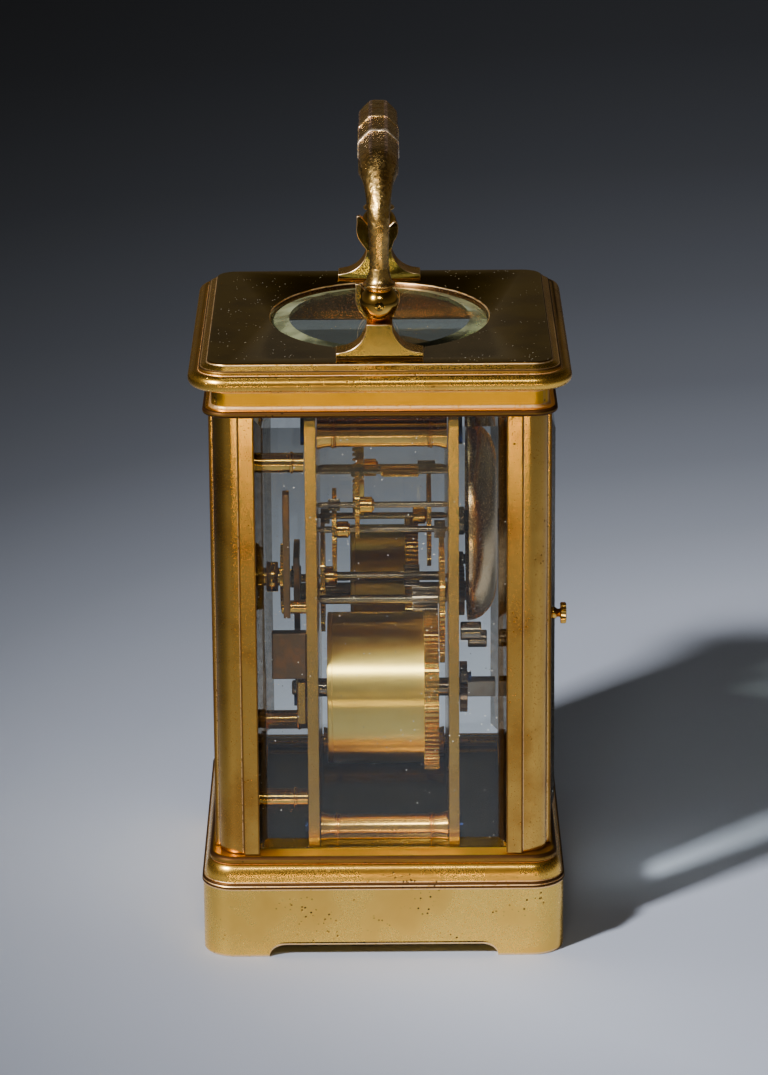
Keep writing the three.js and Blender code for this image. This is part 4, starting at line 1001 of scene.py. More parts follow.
def handle():
    shape = handle_tube()
    made = piece("handle_bail", shape, handle_brass, body="handle", replaces="handle", smooth=30)
    # Painted highlight: marks the raised rings round the grip for the pale colour that the finish paints on them.
    ring = made.data.attributes.new("ring", "FLOAT", "POINT")
    ring.data.foreach_set("value", [ring_highlight_share(v.co / MM) for v in made.data.vertices])
    dimpled(made, 0.07, 1.1)
    for side, sx in (("right", 1), ("left", -1)):
        z = PIVOT.z
        collar = [(0, z + 3.9), (3.3, z + 3.9), (3.75, z + 4.1), (3.8, z + 4.3), (3.7, z + 4.5), (3.3, z + 4.75),
                  (2.95, z + 5.2), (2.72, z + 5.8), (2.55, z + 6.5), (2.4, z + 7.4), (2.2, z + 8.2), (0, z + 8.2)]
        neck = [(0, z + 3.2), (2.9, z + 3.2), (3.05, z + 3.5), (2.9, z + 3.95), (0, z + 3.95)]
        turned_end = turned(softened(collar, 0.1), "Z", (sx * BALL_X, 0), 48)
        turned_end.join(turned(neck, "Z", (sx * BALL_X, 0), 48))
        piece(f"handle_collar_{side}", turned_end, handle_brass, body="handle")
        cut_x = 34.5 - BALL_X
        start = math.degrees(math.acos(cut_x / BALL_R))
        ball = [(0, sx * (BALL_X + cut_x))]
        ball += [(BALL_R * math.sin(math.radians(a)), sx * (BALL_X + BALL_R * math.cos(math.radians(a))))
                 for a in spread(start, 12, 24)]
        ball += [(0.95, sx * (BALL_X + BALL_R - 0.25)), (0, sx * (BALL_X + BALL_R - 0.25))]
        piece(f"handle_ball_{side}", turned(ball, "X", (0, z), 56), turned_brass, body="handle")


def bracket(side, sx):
    """A foot with hollow flanks, and a dished ear behind the handle's ball."""
    bottom = limits("handle_bracket_right")[0].z
    z = PIVOT.z
    hollow = [(9.45 - 6.5 * math.sin(a), z - 4.9 - 6.4 * math.cos(a)) for a in spread(0.1, 1.42, 9)]
    half = [(9.85, bottom), (10.0, bottom + 0.15), (10.0, bottom + 1.1), *hollow, (2.95, z - 4.8)]
    outline = half + [(-y, h) for y, h in reversed(half)]
    inner, outer = sx * 33.7, sx * 40.3
    body = extruded(outline, "X", (inner, outer))
    ear = [(2.9, z - 5.4), *arc((0, z), 4.7, -40, 16, 9), (3.7, z + 1.9), (2.2, z + 0.4), (0, z - 0.5), (-2.6, z + 0.9)]
    ear += [(-4.5, z + 3.3), (-5.4, z + 3.2), *arc((0, z), 5.5, 168, 222, 9), (-2.9, z - 5.4)]
    body.join(extruded(ear, "X", (sx * 32.7, sx * 34.2)))
    made = piece(f"bracket_{side}", body, bracket_brass_painted_shade, replaces=f"handle_bracket_{side}", bevel=0.38)
    # The faces across X keep the darker painted-shade brass. The faces turned away from X get moulding brass.
    repaint(made, moulding_brass, lambda c, n: abs(n.x) < 0.4)
    made.data.materials.append(edge_brass)
    made.modifiers["edge_rounding"].material = 2
    low, high = limits(f"handle_pin_{side}")
    near, far = (low.x, high.x) if sx > 0 else (high.x, low.x)
    head = [(0, near), (1.0, near), (1.1, near + 0.1 * sx), (1.1, far - 0.25 * sx), (0.95, far - 0.05 * sx), (0.5, far),
            (0.42, far - 0.5 * sx), (0, far - 0.6 * sx)]
    piece(f"pin_{side}", turned(head, "X", (0, z), 28), bracket_brass_painted_shade,
          replaces=f"handle_pin_{side}")


# ---------------------------------------------------------------- movement frame


def plates():
    arbors = [(THIRD, 0.55), (CONTRATE, 0.55), (SECOND, 0.6), (STRIKE_THIRD, 0.5), (WARNING, 0.5), (FLY, 0.45)]
    for name, ys, sign in (("front_plate", FRONT_PLATE, -1), ("back_plate", BACK_PLATE, 1)):
        holes = [circle(r + 0.25, (p.x, p.z), 20) for p, r in arbors]
        holes += [circle(2.5, (p.x, p.z), 32) for p in (GOING, STRIKE)]
        holes.append(circle(1.4 if sign < 0 else 0.8, (CENTRE.x, CENTRE.z), 24))
        half, (z0, z1) = PLATE_HALF, PLATE_Z
        outline = [(-half, z0), (half, z0), (half, z1), (-half, z1)]
        shape = extruded(outline, "Y", ys, holes)
        piece(f"{name}_blank", shape, plate_brass, replaces=name, bevel=0.22)
        outer = ys[0] if sign < 0 else ys[1]
        for k, (p, r) in enumerate(arbors):
            cup = [(r + 0.3, outer - sign * 0.5), (1.15, outer - sign * 0.02), (1.3, outer + sign * 0.06)]
            cup += [(1.6, outer + sign * 0.06), (1.7, outer - sign * 0.1), (r + 0.3, outer - sign * 0.6)]
            cup.append(cup[0])
            piece(f"{name}_bush_{k + 1}", turned(cup, "Y", (p.x, p.z), 32), turned_brass)


def screw(name, at, head_y, sign, r=1.5, height=0.7, body=CASE, axis="Y", material=None, turn=0.6):
    """A slotted screw head that stands out along an axis."""
    half = 0.16
    depth = height * 0.5
    c, s = math.cos(turn), math.sin(turn)
    top = head_y + sign * height
    shape = Shape()
    for flip in (1, -1):
        edge = [(half, math.sqrt(r * r - half * half))]
        lean = math.asin(half / r)
        rim = [polar(r, a) for a in spread(math.pi / 2 - lean, -math.pi / 2 + lean, 17)]
        outline = [(flip * x, flip * y) for x, y in rim]
        outline = [(x * c - y * s, x * s + y * c) for x, y in outline]
        shape.join(extruded(outline, axis, (top - sign * depth, top), centre=at))
        del edge
    shape.join(extruded(circle(r, (0, 0), 32), axis, (head_y, top - sign * depth), centre=at))
    piece(name, shape, material or blued_steel, body=body, bevel=0.06)


def frame_pillars():
    y0, y1 = limits("frame_pillar_top_right")[0].y, limits("frame_pillar_top_right")[1].y
    foot = [(0, y0), (3.7, y0), (3.75, y0 + 0.15), (3.65, y0 + 0.5), (3.3, y0 + 1.6), (3.12, y0 + 2.6), (3.08, y0 + 3.3),
            (3.3, y0 + 3.35), (3.5, y0 + 3.5), (3.5, y0 + 3.75), (3.3, y0 + 3.9), (3.05, y0 + 3.95), (3.3, y0 + 4.05),
            (3.38, y0 + 4.25), (3.2, y0 + 4.45), (3.12, y0 + 4.6)]
    profile = foot + [(r, y0 + y1 - y) for r, y in reversed(foot)]
    for level in ("top", "bottom"):
        for side, sx in (("right", 1), ("left", -1)):
            node = f"frame_pillar_{level}_{side}"
            low, high = limits(node)
            at = (low.x + high.x) / 2, (low.z + high.z) / 2
            piece(f"{node}_turned", turned(profile, "Y", at, 56), pillar_brass, replaces=node)
            screw(f"{node}_screw_back", at, BACK_PLATE[1], 1, 2.6, 0.9, turn=0.9 * sx)
            screw(f"{node}_screw_front", at, FRONT_PLATE[0], -1, 2.6, 0.9, turn=0.5 * sx)


# ---------------------------------------------------------------- trains

GREAT_TEETH = 88
STRIKE_MODULE = 0.44
GOING_MODULE = 2 * math.hypot(CENTRE.x - GOING.x, CENTRE.z - GOING.z) / (GREAT_TEETH + 12)


def barrel(name, axis, body, wheel_width, radius, module):
    """A drum with snapped-in lid, a great wheel, and the mainspring's coil inside."""
    low, high = limits(name)
    y0, y2 = low.y, high.y
    y1 = y2 - wheel_width
    wall = [(2.5, y0 + 0.3), (9.0, y0 + 0.3), (9.2, y0), (radius - 0.25, y0), (radius, y0 + 0.25), (radius, y0 + 1.0),
            (radius - 0.12, y0 + 1.08), (radius - 0.12, y0 + 1.2), (radius, y0 + 1.28), (radius, y1 + 0.1),
            (2.5, y1 + 0.1), (2.5, y0 + 0.3)]
    shape = turned(wall, "Y", (axis.x, axis.z), 96)
    piece(f"{name}_drum", shape, drum_brass, body=body, replaces=(name, f"{name.split('_')[0]}_mainspring"))
    teeth = extruded(gear_teeth(GREAT_TEETH, module, 0), "Y", (y1, y2), [circle(2.55, sides=32)],
                     centre=(axis.x, axis.z))
    piece(f"{name}_great_wheel", teeth, wheel_brass, body=body, bevel=0.05)
    spring = [(4.6, y1 - 1.5), (radius - 1.6, y1 - 1.5), (radius - 1.6, y0 + 1.5), (4.6, y0 + 1.5), (4.6, y1 - 1.5)]
    piece(f"{name}_mainspring_coil", turned(spring, "Y", (axis.x, axis.z), 48), spring_steel, body=body)


def winding_arbor(name, axis, body):
    low, high = limits(name)
    y0, y1 = low.y, high.y
    shaft = [(0, y0), (1.5, y0), (1.8, y0 + 0.3), (1.8, y0 + 1.2), (2.2, y0 + 1.3), (2.2, 18.7), (0, 18.7)]
    shape = turned(shaft, "Y", (axis.x, axis.z), 40)
    square = extruded([(-1.95, -1.95), (1.95, -1.95), (1.95, 1.95), (-1.95, 1.95)], "Y", (19.5, y1),
                      centre=(axis.x, axis.z))
    piece(f"{name}_shaft", shape.join(square), steel, body=body, replaces=name, bevel=0.18)
    teeth = []
    for i in range(24):
        a = i * TURN / 24
        teeth += [polar(5.2, a), polar(6.05, a + 0.03), polar(6.0, a + 0.07), polar(5.55, a + 0.16)]
    ratchet = extruded(teeth, "Y", (18.5, 20.3), [circle(2.2, sides=24)], centre=(axis.x, axis.z))
    piece(f"{name}_ratchet", ratchet, dark_steel, body=body, bevel=0.1)


def arbor(name, axis, body, r, leaves, module, phase, ys, front=None, collets=()):
    """An arbor between the plates with its pinion, polished shoulders and brass collets for its wheels."""
    ends = front if front is not None else FRONT_PLATE[0] + 0.6, BACK_PLATE[1] - 0.6
    inner = FRONT_PLATE[1] + 0.35, BACK_PLATE[0] - 0.35
    cone = 0.9
    rod = [(0, ends[0]), (0.42, ends[0]), (0.5, ends[0] + 0.15), (0.5, inner[0]), (r * 0.8, inner[0] + 0.05),
           (r, inner[0] + cone), (r, inner[1] - cone), (r * 0.8, inner[1] - 0.05), (0.5, inner[1]),
           (0.5, ends[1] - 0.15), (0.42, ends[1]), (0, ends[1])]
    shape = turned(rod, "Y", (axis.x, axis.z), 28)
    leaf = gear_teeth(leaves, module, phase, leaf=True)
    shape.join(extruded(leaf, "Y", ys, centre=(axis.x, axis.z)))
    made = piece(f"{name}_steelwork", shape, steel, body=body, replaces=name, bevel=0.05)
    for k, (start, end, size) in enumerate(collets):
        ring = [(r, start), (size * 0.82, start), (size, start + 0.2), (size, end - 0.5), (size * 0.75, end - 0.3),
                (size * 0.7, end), (r, end), (r, start)]
        piece(f"{name}_collet_{k + 1}", turned(ring, "Y", (axis.x, axis.z), 28), turned_brass, body=body)
    return made


def crossed_wheel(name, node, axis, body, teeth, module, phase, ys, arms=5, hub=2.6, rim=1.5):
    pitch = teeth * module / 2
    holes = crossings(hub, pitch - 1.25 * module - rim, arms, 1.1, phase=0.3)
    shape = extruded(gear_teeth(teeth, module, phase), "Y", ys, holes, centre=(axis.x, axis.z))
    piece(name, shape, wheel_brass, body=body, replaces=node, bevel=0.04)


def span_of(node, axis="y"):
    low, high = limits(node)
    return getattr(low, axis), getattr(high, axis)


def contrate_wheel():
    """A crown wheel: a thin crossed disc inside a band whose front edge is cut into slanted teeth."""
    low, high = limits("contrate_wheel")
    r = (high.x - low.x) / 2
    teeth = 54
    depth = 0.85
    start = math.pi / 2
    rows = [(-0.48, depth), (-0.2, 0.0), (-0.02, 0.0), (0.12, depth)]
    columns = []
    for i in range(teeth):
        for share, back in rows:
            columns.append((start + (i + 0.5 + share) * TURN / teeth, low.y + back))
    points, faces = [], []
    count = len(columns)
    for a, y in columns:
        for radius, depth_y in ((r, y), (r, high.y), (r - 1.1, high.y), (r - 1.1, y)):
            dx, dz = polar(radius, a)
            points.append((CONTRATE.x + dx, depth_y, CONTRATE.z + dz))
    for i in range(count):
        j = (i + 1) % count
        for k in range(4):
            faces.append([4 * i + k, 4 * j + k, 4 * j + (k + 1) % 4, 4 * i + (k + 1) % 4])
    band = Shape().add(points, faces)
    disc = extruded(circle(r - 1.05, sides=72), "Y", (high.y - 0.8, high.y - 0.05), crossings(2.6, r - 2.1, 4, 1.2),
                    centre=(CONTRATE.x, CONTRATE.z))
    piece("contrate_crown", band.join(disc), wheel_brass, body="contrate_arbor",
          replaces="contrate_wheel", smooth=25)


def going_train():
    barrel("going_barrel", GOING, "going_barrel", 3.3, 16.4, GOING_MODULE)
    winding_arbor("going_barrel_arbor", GOING, "going_winding_arbor")
    centre_phase = mesh_phase(GOING, GREAT_TEETH, 0, CENTRE, 12)
    arbor("centre_arbor", CENTRE, "centre_arbor", 1.1, 12, GOING_MODULE, centre_phase, (5.4, 9.2),
          front=limits("centre_arbor")[0].y, collets=[(-13.5, -10.6, 2.5)])
    crossed_wheel("centre_wheel_crossed", "centre_wheel", CENTRE, "centre_arbor", 80, 0.3244, 0,
                  span_of("centre_wheel"))
    third_phase = mesh_phase(CENTRE, 80, 0, THIRD, 10)
    arbor("third_arbor", THIRD, "third_arbor", 0.8, 10, 0.3244, third_phase, (-14.5, -12.3), collets=[(7.6, 11, 2.1)])
    crossed_wheel("third_wheel_crossed", "third_wheel", THIRD, "third_arbor", 75, 0.3169, 0, span_of("third_wheel"))
    contrate_phase = mesh_phase(THIRD, 75, 0, CONTRATE, 9)
    arbor("contrate_arbor", CONTRATE, "contrate_arbor", 0.8, 9, 0.3169, contrate_phase, (8.8, 13),
          collets=[(-4, -0.6, 2.1)])
    contrate_wheel()


def striking_train():
    barrel("strike_barrel", STRIKE, "strike_barrel", 3.5, 18.0, STRIKE_MODULE)
    winding_arbor("strike_barrel_arbor", STRIKE, "strike_winding_arbor")
    second_phase = mesh_phase(STRIKE, GREAT_TEETH, 0, SECOND, 12)
    arbor("strike_second_arbor", SECOND, "strike_second_arbor", 1.1, 12, STRIKE_MODULE, second_phase, (7.3, 13.4))
    crossed_wheel("strike_second_wheel_crossed", "strike_second_wheel", SECOND, "strike_second_arbor", 80, 0.37, 0,
                  span_of("strike_second_wheel"))
    third_phase = mesh_phase(SECOND, 80, 0, STRIKE_THIRD, 10)
    arbor("strike_third_wheel", STRIKE_THIRD, "strike_third_wheel", 0.8, 10, 0.37, third_phase, (12.6, 15.2),
          collets=[(-10.5, -7.3, 2.0)])
    crossed_wheel("strike_third_wheel_crossed", "strike_third_wheel", STRIKE_THIRD, "strike_third_wheel", 64, 0.3, 0,
                  (-11.5, -10.5), arms=4)
    warning_phase = mesh_phase(STRIKE_THIRD, 64, 0, WARNING, 8)
    arbor("warning_wheel", WARNING, "warning_wheel", 0.7, 8, 0.3, warning_phase, (-12.4, -9.6), collets=[(-5, -1.6, 1.9)])
    crossed_wheel("warning_wheel_crossed", "warning_wheel", WARNING, "warning_wheel", 56, 0.27, 0, (-6, -5), arms=4)
    fly_phase = mesh_phase(WARNING, 56, 0, FLY, 7)
    arbor("fly", FLY, "fly", 0.6, 7, 0.27, fly_phase, (-7, -4))
    vane = extruded([(-4, -0.15), (4, -0.15), (4, 0.15), (-4, 0.15)], "Y", (0.4, 8.8), centre=(FLY.x, FLY.z))
    vane.join(turned([(0, 0), (1.1, 0), (1.1, 9), (0, 9)], "Y", (FLY.x, FLY.z), 24))
    piece("fly_vane", vane, wheel_brass, body="fly", bevel=0.06)


def click(side, sx, axis, body):
    node = f"{side}_click"
    pivot = axis_of(f"{side}_click_lift")
    back = Vector((axis.x - pivot.x, axis.z - pivot.z))
    away = back.length
    along = back.normalized()
    across = Vector((-along.y, along.x))
    tip = away - 6.1 - 0.15

    def at(inward, sideways):
        p = along * inward + across * sideways
        return p.x, p.y

    pawl = [at(tip, 0.1), at(tip * 0.5, 1.0), at(0.4, 1.75), at(-1.3, 1.4), at(-1.8, 0), at(-1.3, -1.4), at(0.4, -1.75),
            at(tip * 0.5, -0.9), at(tip, -0.2)]
    shape = extruded(pawl, "Y", (18.6, 20.2), centre=(pivot.x, pivot.z))
    piece(f"{node}_pawl", shape, steel, body=body, replaces=node, bevel=0.15)
    screw(f"{node}_screw", (pivot.x, pivot.z), 20.2, 1, 1.25, 0.9, body=body, turn=0.8 * sx)


# ---------------------------------------------------------------- dial side


def numeral(text, height):
    """Strokes of a Roman numeral, as quadrilaterals from its middle: thick and thin bars."""
    thick, thin = 0.62, 0.22
    widths = {"I": 1.05, "V": 2.3, "X": 2.3}
    total = sum(widths[c] for c in text)
    quads, x = [], -total / 2
    top, bottom = height / 2, -height / 2

    def bar(x0, x1, width):
        quads.append([(x0 - width / 2, bottom), (x0 + width / 2, bottom), (x1 + width / 2, top), (x1 - width / 2, top)])

    for c in text:
        middle = x + widths[c] / 2
        if c == "I":
            bar(middle, middle, thick)
        if c == "V":
            bar(middle, middle - 0.8, thick)
            bar(middle, middle + 0.8, thin)
        if c == "X":
            bar(middle + 0.8, middle - 0.8, thick)
            bar(middle - 0.8, middle + 0.8, thin)
        x += widths[c]
    for end in (bottom, top - 0.18):
        quads.append([(-total / 2 + 0.1, end), (total / 2 - 0.1, end), (total / 2 - 0.1, end + 0.18),
                      (-total / 2 + 0.1, end + 0.18)])
    return quads


def dial():
    low, high = limits("dial")
    r = (high.x - low.x) / 2
    face = low.y
    at = CENTRE.x, CENTRE.z
    profile = [(3.0, high.y), (r, high.y), (r, face + 0.35), (r - 0.4, face + 0.12), (12, face), (3.2, face),
               (3.0, face + 0.2), (3.0, high.y)]
    piece("dial_plate", turned(profile, "Y", at, 96), dial_enamel, replaces="dial")
    ink = Shape()
    skin = face - 0.06, face + 0.02
    for ring in (24.9, 22.6):
        ink.join(turned([(ring - 0.09, skin[0]), (ring + 0.09, skin[0]), (ring + 0.09, skin[1]), (ring - 0.09, skin[1]),
                         (ring - 0.09, skin[0])], "Y", at, 128))
    for i in range(60):
        a = TURN * i / 60
        wide = 0.24 if i % 5 == 0 else 0.07
        c, s = math.cos(a), math.sin(a)
        bar = [(-wide, 22.6), (wide, 22.6), (wide, 24.9), (-wide, 24.9)]
        ink.join(extruded([(x * c + z * s, z * c - x * s) for x, z in bar], "Y", skin, centre=at))
    texts = ("XII", "I", "II", "III", "IIII", "V", "VI", "VII", "VIII", "IX", "X", "XI")
    for i, text in enumerate(texts):
        a = TURN * i / 12
        c, s = math.cos(a), math.sin(a)
        for k, quad in enumerate(numeral(text, 5.2)):
            lifted = skin[0] - 0.004 * k, skin[1]
            raised = [(x, z + 18.6) for x, z in quad]
            ink.join(extruded([(x * c + z * s, z * c - x * s) for x, z in raised], "Y", lifted, centre=at))
    piece("dial_numerals", ink, dial_ink)
    mask_low, mask_high = limits("dial_mask")
    outline = [(mask_low.x, mask_low.z), (mask_high.x, mask_low.z), (mask_high.x, mask_high.z), (mask_low.x, mask_high.z)]
    opening = circle(27, at, 96)
    shape = extruded(outline, "Y", (mask_low.y, mask_low.y + 1.2), [opening])
    made = piece("dial_surround", shape, mask_brass, replaces="dial_mask", bevel=0.15)
    del made
    bezel = [(27.0, mask_low.y + 0.2), (27.05, mask_low.y - 0.35), (27.6, mask_low.y - 0.45), (28.1, mask_low.y - 0.2),
             (28.3, mask_low.y), (28.3, mask_low.y + 0.2), (27.0, mask_low.y + 0.2)]
    piece("dial_bezel", turned(bezel, "Y", at, 112), turned_brass)
    y0, y1 = mask_low.y + 0.8, FRONT_PLATE[0] - 0.3
    post = [(0, y0), (2.35, y0), (2.35, y1 - 3.2), (2.6, y1 - 3.0), (2.6, y1 - 2.6), (2.35, y1 - 2.4), (2.35, y1), (0, y1)]
    for k, (x, z) in enumerate(((28, 33.4), (-28, 33.4), (28, 116.5), (-28, 116.5))):
        piece(f"dial_pillar_{k + 1}", turned(post, "Y", (x, z), 40), turned_brass)


def leaf_hand(name, node, length, boss, bore, ring, ys, clockwise, body):
    """A hand with a boss, a slim tapering blade and an open ring near its tip."""
    a = math.radians(clockwise)
    c, s = math.cos(a), math.sin(a)

    def swung(points):
        return [(CENTRE.x + x * c + z * s, CENTRE.z + z * c - x * s) for x, z in points]

    near, far = length - 4.5 - ring, length - 4.5 + ring
    stem = [(-0.75, boss * 0.8), (0.75, boss * 0.8), (0.32, near + 0.2), (-0.32, near + 0.2)]
    tip = [(-0.5, far - 0.25), (0.5, far - 0.25), (0.25, length), (0, length + 1.5), (-0.25, length)]
    shape = extruded(swung(stem), "Y", ys).join(extruded(swung(tip), "Y", ys))
    shape.join(extruded(swung(circle(boss, sides=40)), "Y", ys, [swung(circle(bore, sides=32))]))
    centre = (0, length - 4.5)
    shape.join(extruded(swung(circle(ring, centre, 40)), "Y", ys, [swung(circle(ring - 0.65, centre, 32))]))
    piece(name, shape, blued_steel, body=body, replaces=node, bevel=0.08)


def motion_work():
    at = CENTRE.x, CENTRE.z
    distance = math.hypot(MINUTE.x - CENTRE.x, MINUTE.z - CENTRE.z)
    minute_module = 2 * distance / 48
    hour_module = 2 * distance / 50
    minute_phase = mesh_phase(CENTRE, 12, 0, MINUTE, 36)
    hour_phase = mesh_phase(MINUTE, 10, minute_phase, CENTRE, 40)
    low, high = limits("cannon_pinion")
    pipe = turned([(0, low.y), (0.8, low.y), (1.0, low.y + 0.2), (1.0, high.y), (0, high.y)], "Y", at, 28)
    pipe.join(extruded(gear_teeth(12, minute_module, 0, True), "Y", (-21.6, high.y), centre=at))
    piece("cannon_pinion_cut", pipe, steel, body="centre_arbor", replaces="cannon_pinion", bevel=0.05)
    low, high = limits("minute_wheel")
    where = MINUTE.x, MINUTE.z
    shape = turned([(0, low.y), (0.85, low.y), (1.0, low.y + 0.15), (1.0, high.y), (0, high.y)], "Y", where, 28)
    shape.join(extruded(gear_teeth(10, hour_module, minute_phase, True), "Y", (-24.6, -21.1), centre=where))
    shape.join(extruded(gear_teeth(36, minute_module, minute_phase), "Y", (-21.2, -20), centre=where))
    piece("minute_wheel_cut", shape, wheel_brass, body="minute_wheel", replaces="minute_wheel",
          bevel=0.05)
    low, high = limits("hour_wheel")
    shape = turned([(1.3, low.y), (2.0, low.y), (2.2, low.y + 0.2), (2.2, high.y), (1.3, high.y), (1.3, low.y)], "Y", at, 32)
    holes = [circle(1.3, sides=24)]
    shape.join(extruded(gear_teeth(40, hour_module, hour_phase), "Y", (-24.2, -22.8), holes, centre=at))
    piece("hour_wheel_cut", shape, wheel_brass, body="hour_wheel", replaces="hour_wheel", bevel=0.05)
    leaf_hand("hour_hand_blued", "hour_hand", 15, 3, 2.25, 2, (-31, -30.4), 305, "hour_wheel")
    leaf_hand("minute_hand_blued", "minute_hand", 21.5, 2, 1.02, 1.6, (-32.4, -31.8), 60, "centre_arbor")


def strike_details():
    """Pieces on the dial side that show edge-on: the hour snail, a detent and its block."""
    at = CENTRE.x, CENTRE.z
    snail = [(2.2, -27.6), (3.5, -27.6), (3.65, -27.4), (3.65, -25.0), (3.5, -24.8), (2.2, -24.8), (2.2, -27.6)]
    piece("hour_snail", turned(snail, "Y", at, 48), turned_brass, body="hour_wheel")
    bar = [(30.8, 80), (33.1, 80), (33.0, 96), (32.6, 110), (31.2, 110.8), (30.7, 96)]
    piece("strike_detent", extruded(bar, "Y", (-22.9, -21.3)), dark_steel, bevel=0.15)
    post = turned([(0, -23.4), (1.4, -23.4), (1.6, -23.2), (1.6, FRONT_PLATE[0] - 0.05), (0, FRONT_PLATE[0] - 0.05)], "Y",
                  (31.1, 82.2), 28)
    piece("strike_detent_post", post, turned_brass)
    foot = [(27, 65), (33.2, 65), (33.2, 76.4), (30.4, 76.4), (29.2, 73), (27, 71.5)]
    piece("strike_detent_block", extruded(foot, "Y", (-25.8, FRONT_PLATE[0] - 0.05)), dark_steel,
          bevel=0.3)


def rack():
    pivot = axis_of("rack_fall")
    ys = -20.6, -19.2
    teeth = []
    for i in range(15):
        a = math.radians(74 + 28 * i / 14)
        teeth += [polar(25.7, a - 0.012), polar(26.9, a), polar(25.7, a + 0.004)]
    inner = [polar(23.2, math.radians(a)) for a in spread(102, 74, 9)]
    shape = extruded(teeth + inner, "Y", ys, centre=(pivot.x, pivot.z))
    limb = [(-1.7, 0), (1.7, 0), (1.0, 12), (0.9, 23.6), (-0.9, 23.6), (-1.0, 12)]
    shape.join(extruded(limb, "Y", ys, centre=(pivot.x, pivot.z)))
    shape.join(turned([(0, -22), (2.2, -22), (2.4, -21.8), (2.4, -18.3), (0, -18.3)], "Y", (pivot.x, pivot.z), 32))
    piece("strike_rack_cut", shape, dark_steel, body="strike_rack", replaces="strike_rack", bevel=0.1)


def bridge():
    low, high = limits("barrel_bridge")
    hole = circle(2.5, (STRIKE.x, STRIKE.z), 32)
    outline = [(low.x, low.z), (high.x, low.z), (high.x, high.z), (low.x, high.z)]
    shape = extruded(outline, "Y", (low.y, high.y), [hole])
    piece("barrel_bridge_block", shape, plate_brass, replaces="barrel_bridge", bevel=0.3)
    for k, x in enumerate((low.x + 2.6, high.x - 2.6)):
        screw(f"barrel_bridge_screw_{k + 1}", (x, (low.z + high.z) / 2), low.y, -1, 1.4, 0.7)


# ---------------------------------------------------------------- bell and hammer


def bell():
    low, high = limits("bell")
    rim, crown = low.y, high.y
    r = (high.x - low.x) / 2
    at = (low.x + high.x) / 2, (low.z + high.z) / 2
    depth = crown - rim

    def curve(grow, count):
        return [(r - 9 + (9 - grow) * math.cos(a), rim + (depth - grow) * math.sin(a)) for a in spread(0.0, TURN / 4, count)]

    outer = [(r - 0.35, rim), (r - 0.05, rim + 0.15), *curve(0, 18)[1:]]
    inner = list(reversed(curve(1.1, 14)))
    profile = [*outer, (1.7, crown), (1.7, crown - 1.1), *inner, outer[0]]
    piece("bell_cup", turned(profile, "Y", at, 112), bell_metal, replaces="bell")
    y0 = BACK_PLATE[1] + 0.3
    stand = [(0, y0), (3.2, y0), (3.4, y0 + 0.2), (3.4, y0 + 1.4), (2.6, y0 + 1.8), (2.3, 25.6), (2.6, 26.1), (1.5, 26.2),
             (1.5, 27.9), (0, 27.9)]
    piece("bell_post", turned(stand, "Y", at, 40), steel, replaces="bell_stand")
    screw("bell_screw", at, 27.9, 1, 2.9, 1.4, turn=0.4)
    pivot = axis_of("hammer_swing")
    low, high = limits("hammer")
    head = low.x + 2.1, low.z + 2.1
    dx, dz = head[0] - pivot.x, head[1] - pivot.z
    length = math.hypot(dx, dz)
    ux, uz = dx / length, dz / length

    def along(points):
        return [(pivot.x + a * ux - b * uz, pivot.z + a * uz + b * ux) for a, b in points]

    rod = extruded(along([(0, -0.8), (length, -0.45), (length, 0.45), (0, 0.8)]), "Y", (21.7, 22.7))
    rod.join(turned([(0, low.y), (2.0, low.y), (2.2, low.y + 0.2), (2.2, 23.2), (2.0, 23.4), (0, 23.4)], "Y",
                    (pivot.x, pivot.z), 32))
    rod.join(turned([(0, 20.6), (1.9, 20.6), (2.1, 20.8), (2.1, 25.0), (1.9, 25.2), (0, 25.2)], "Y", head, 32))
    piece("hammer_forged", rod, steel, body="hammer", replaces="hammer", bevel=0.1)


# ---------------------------------------------------------------- platform escapement


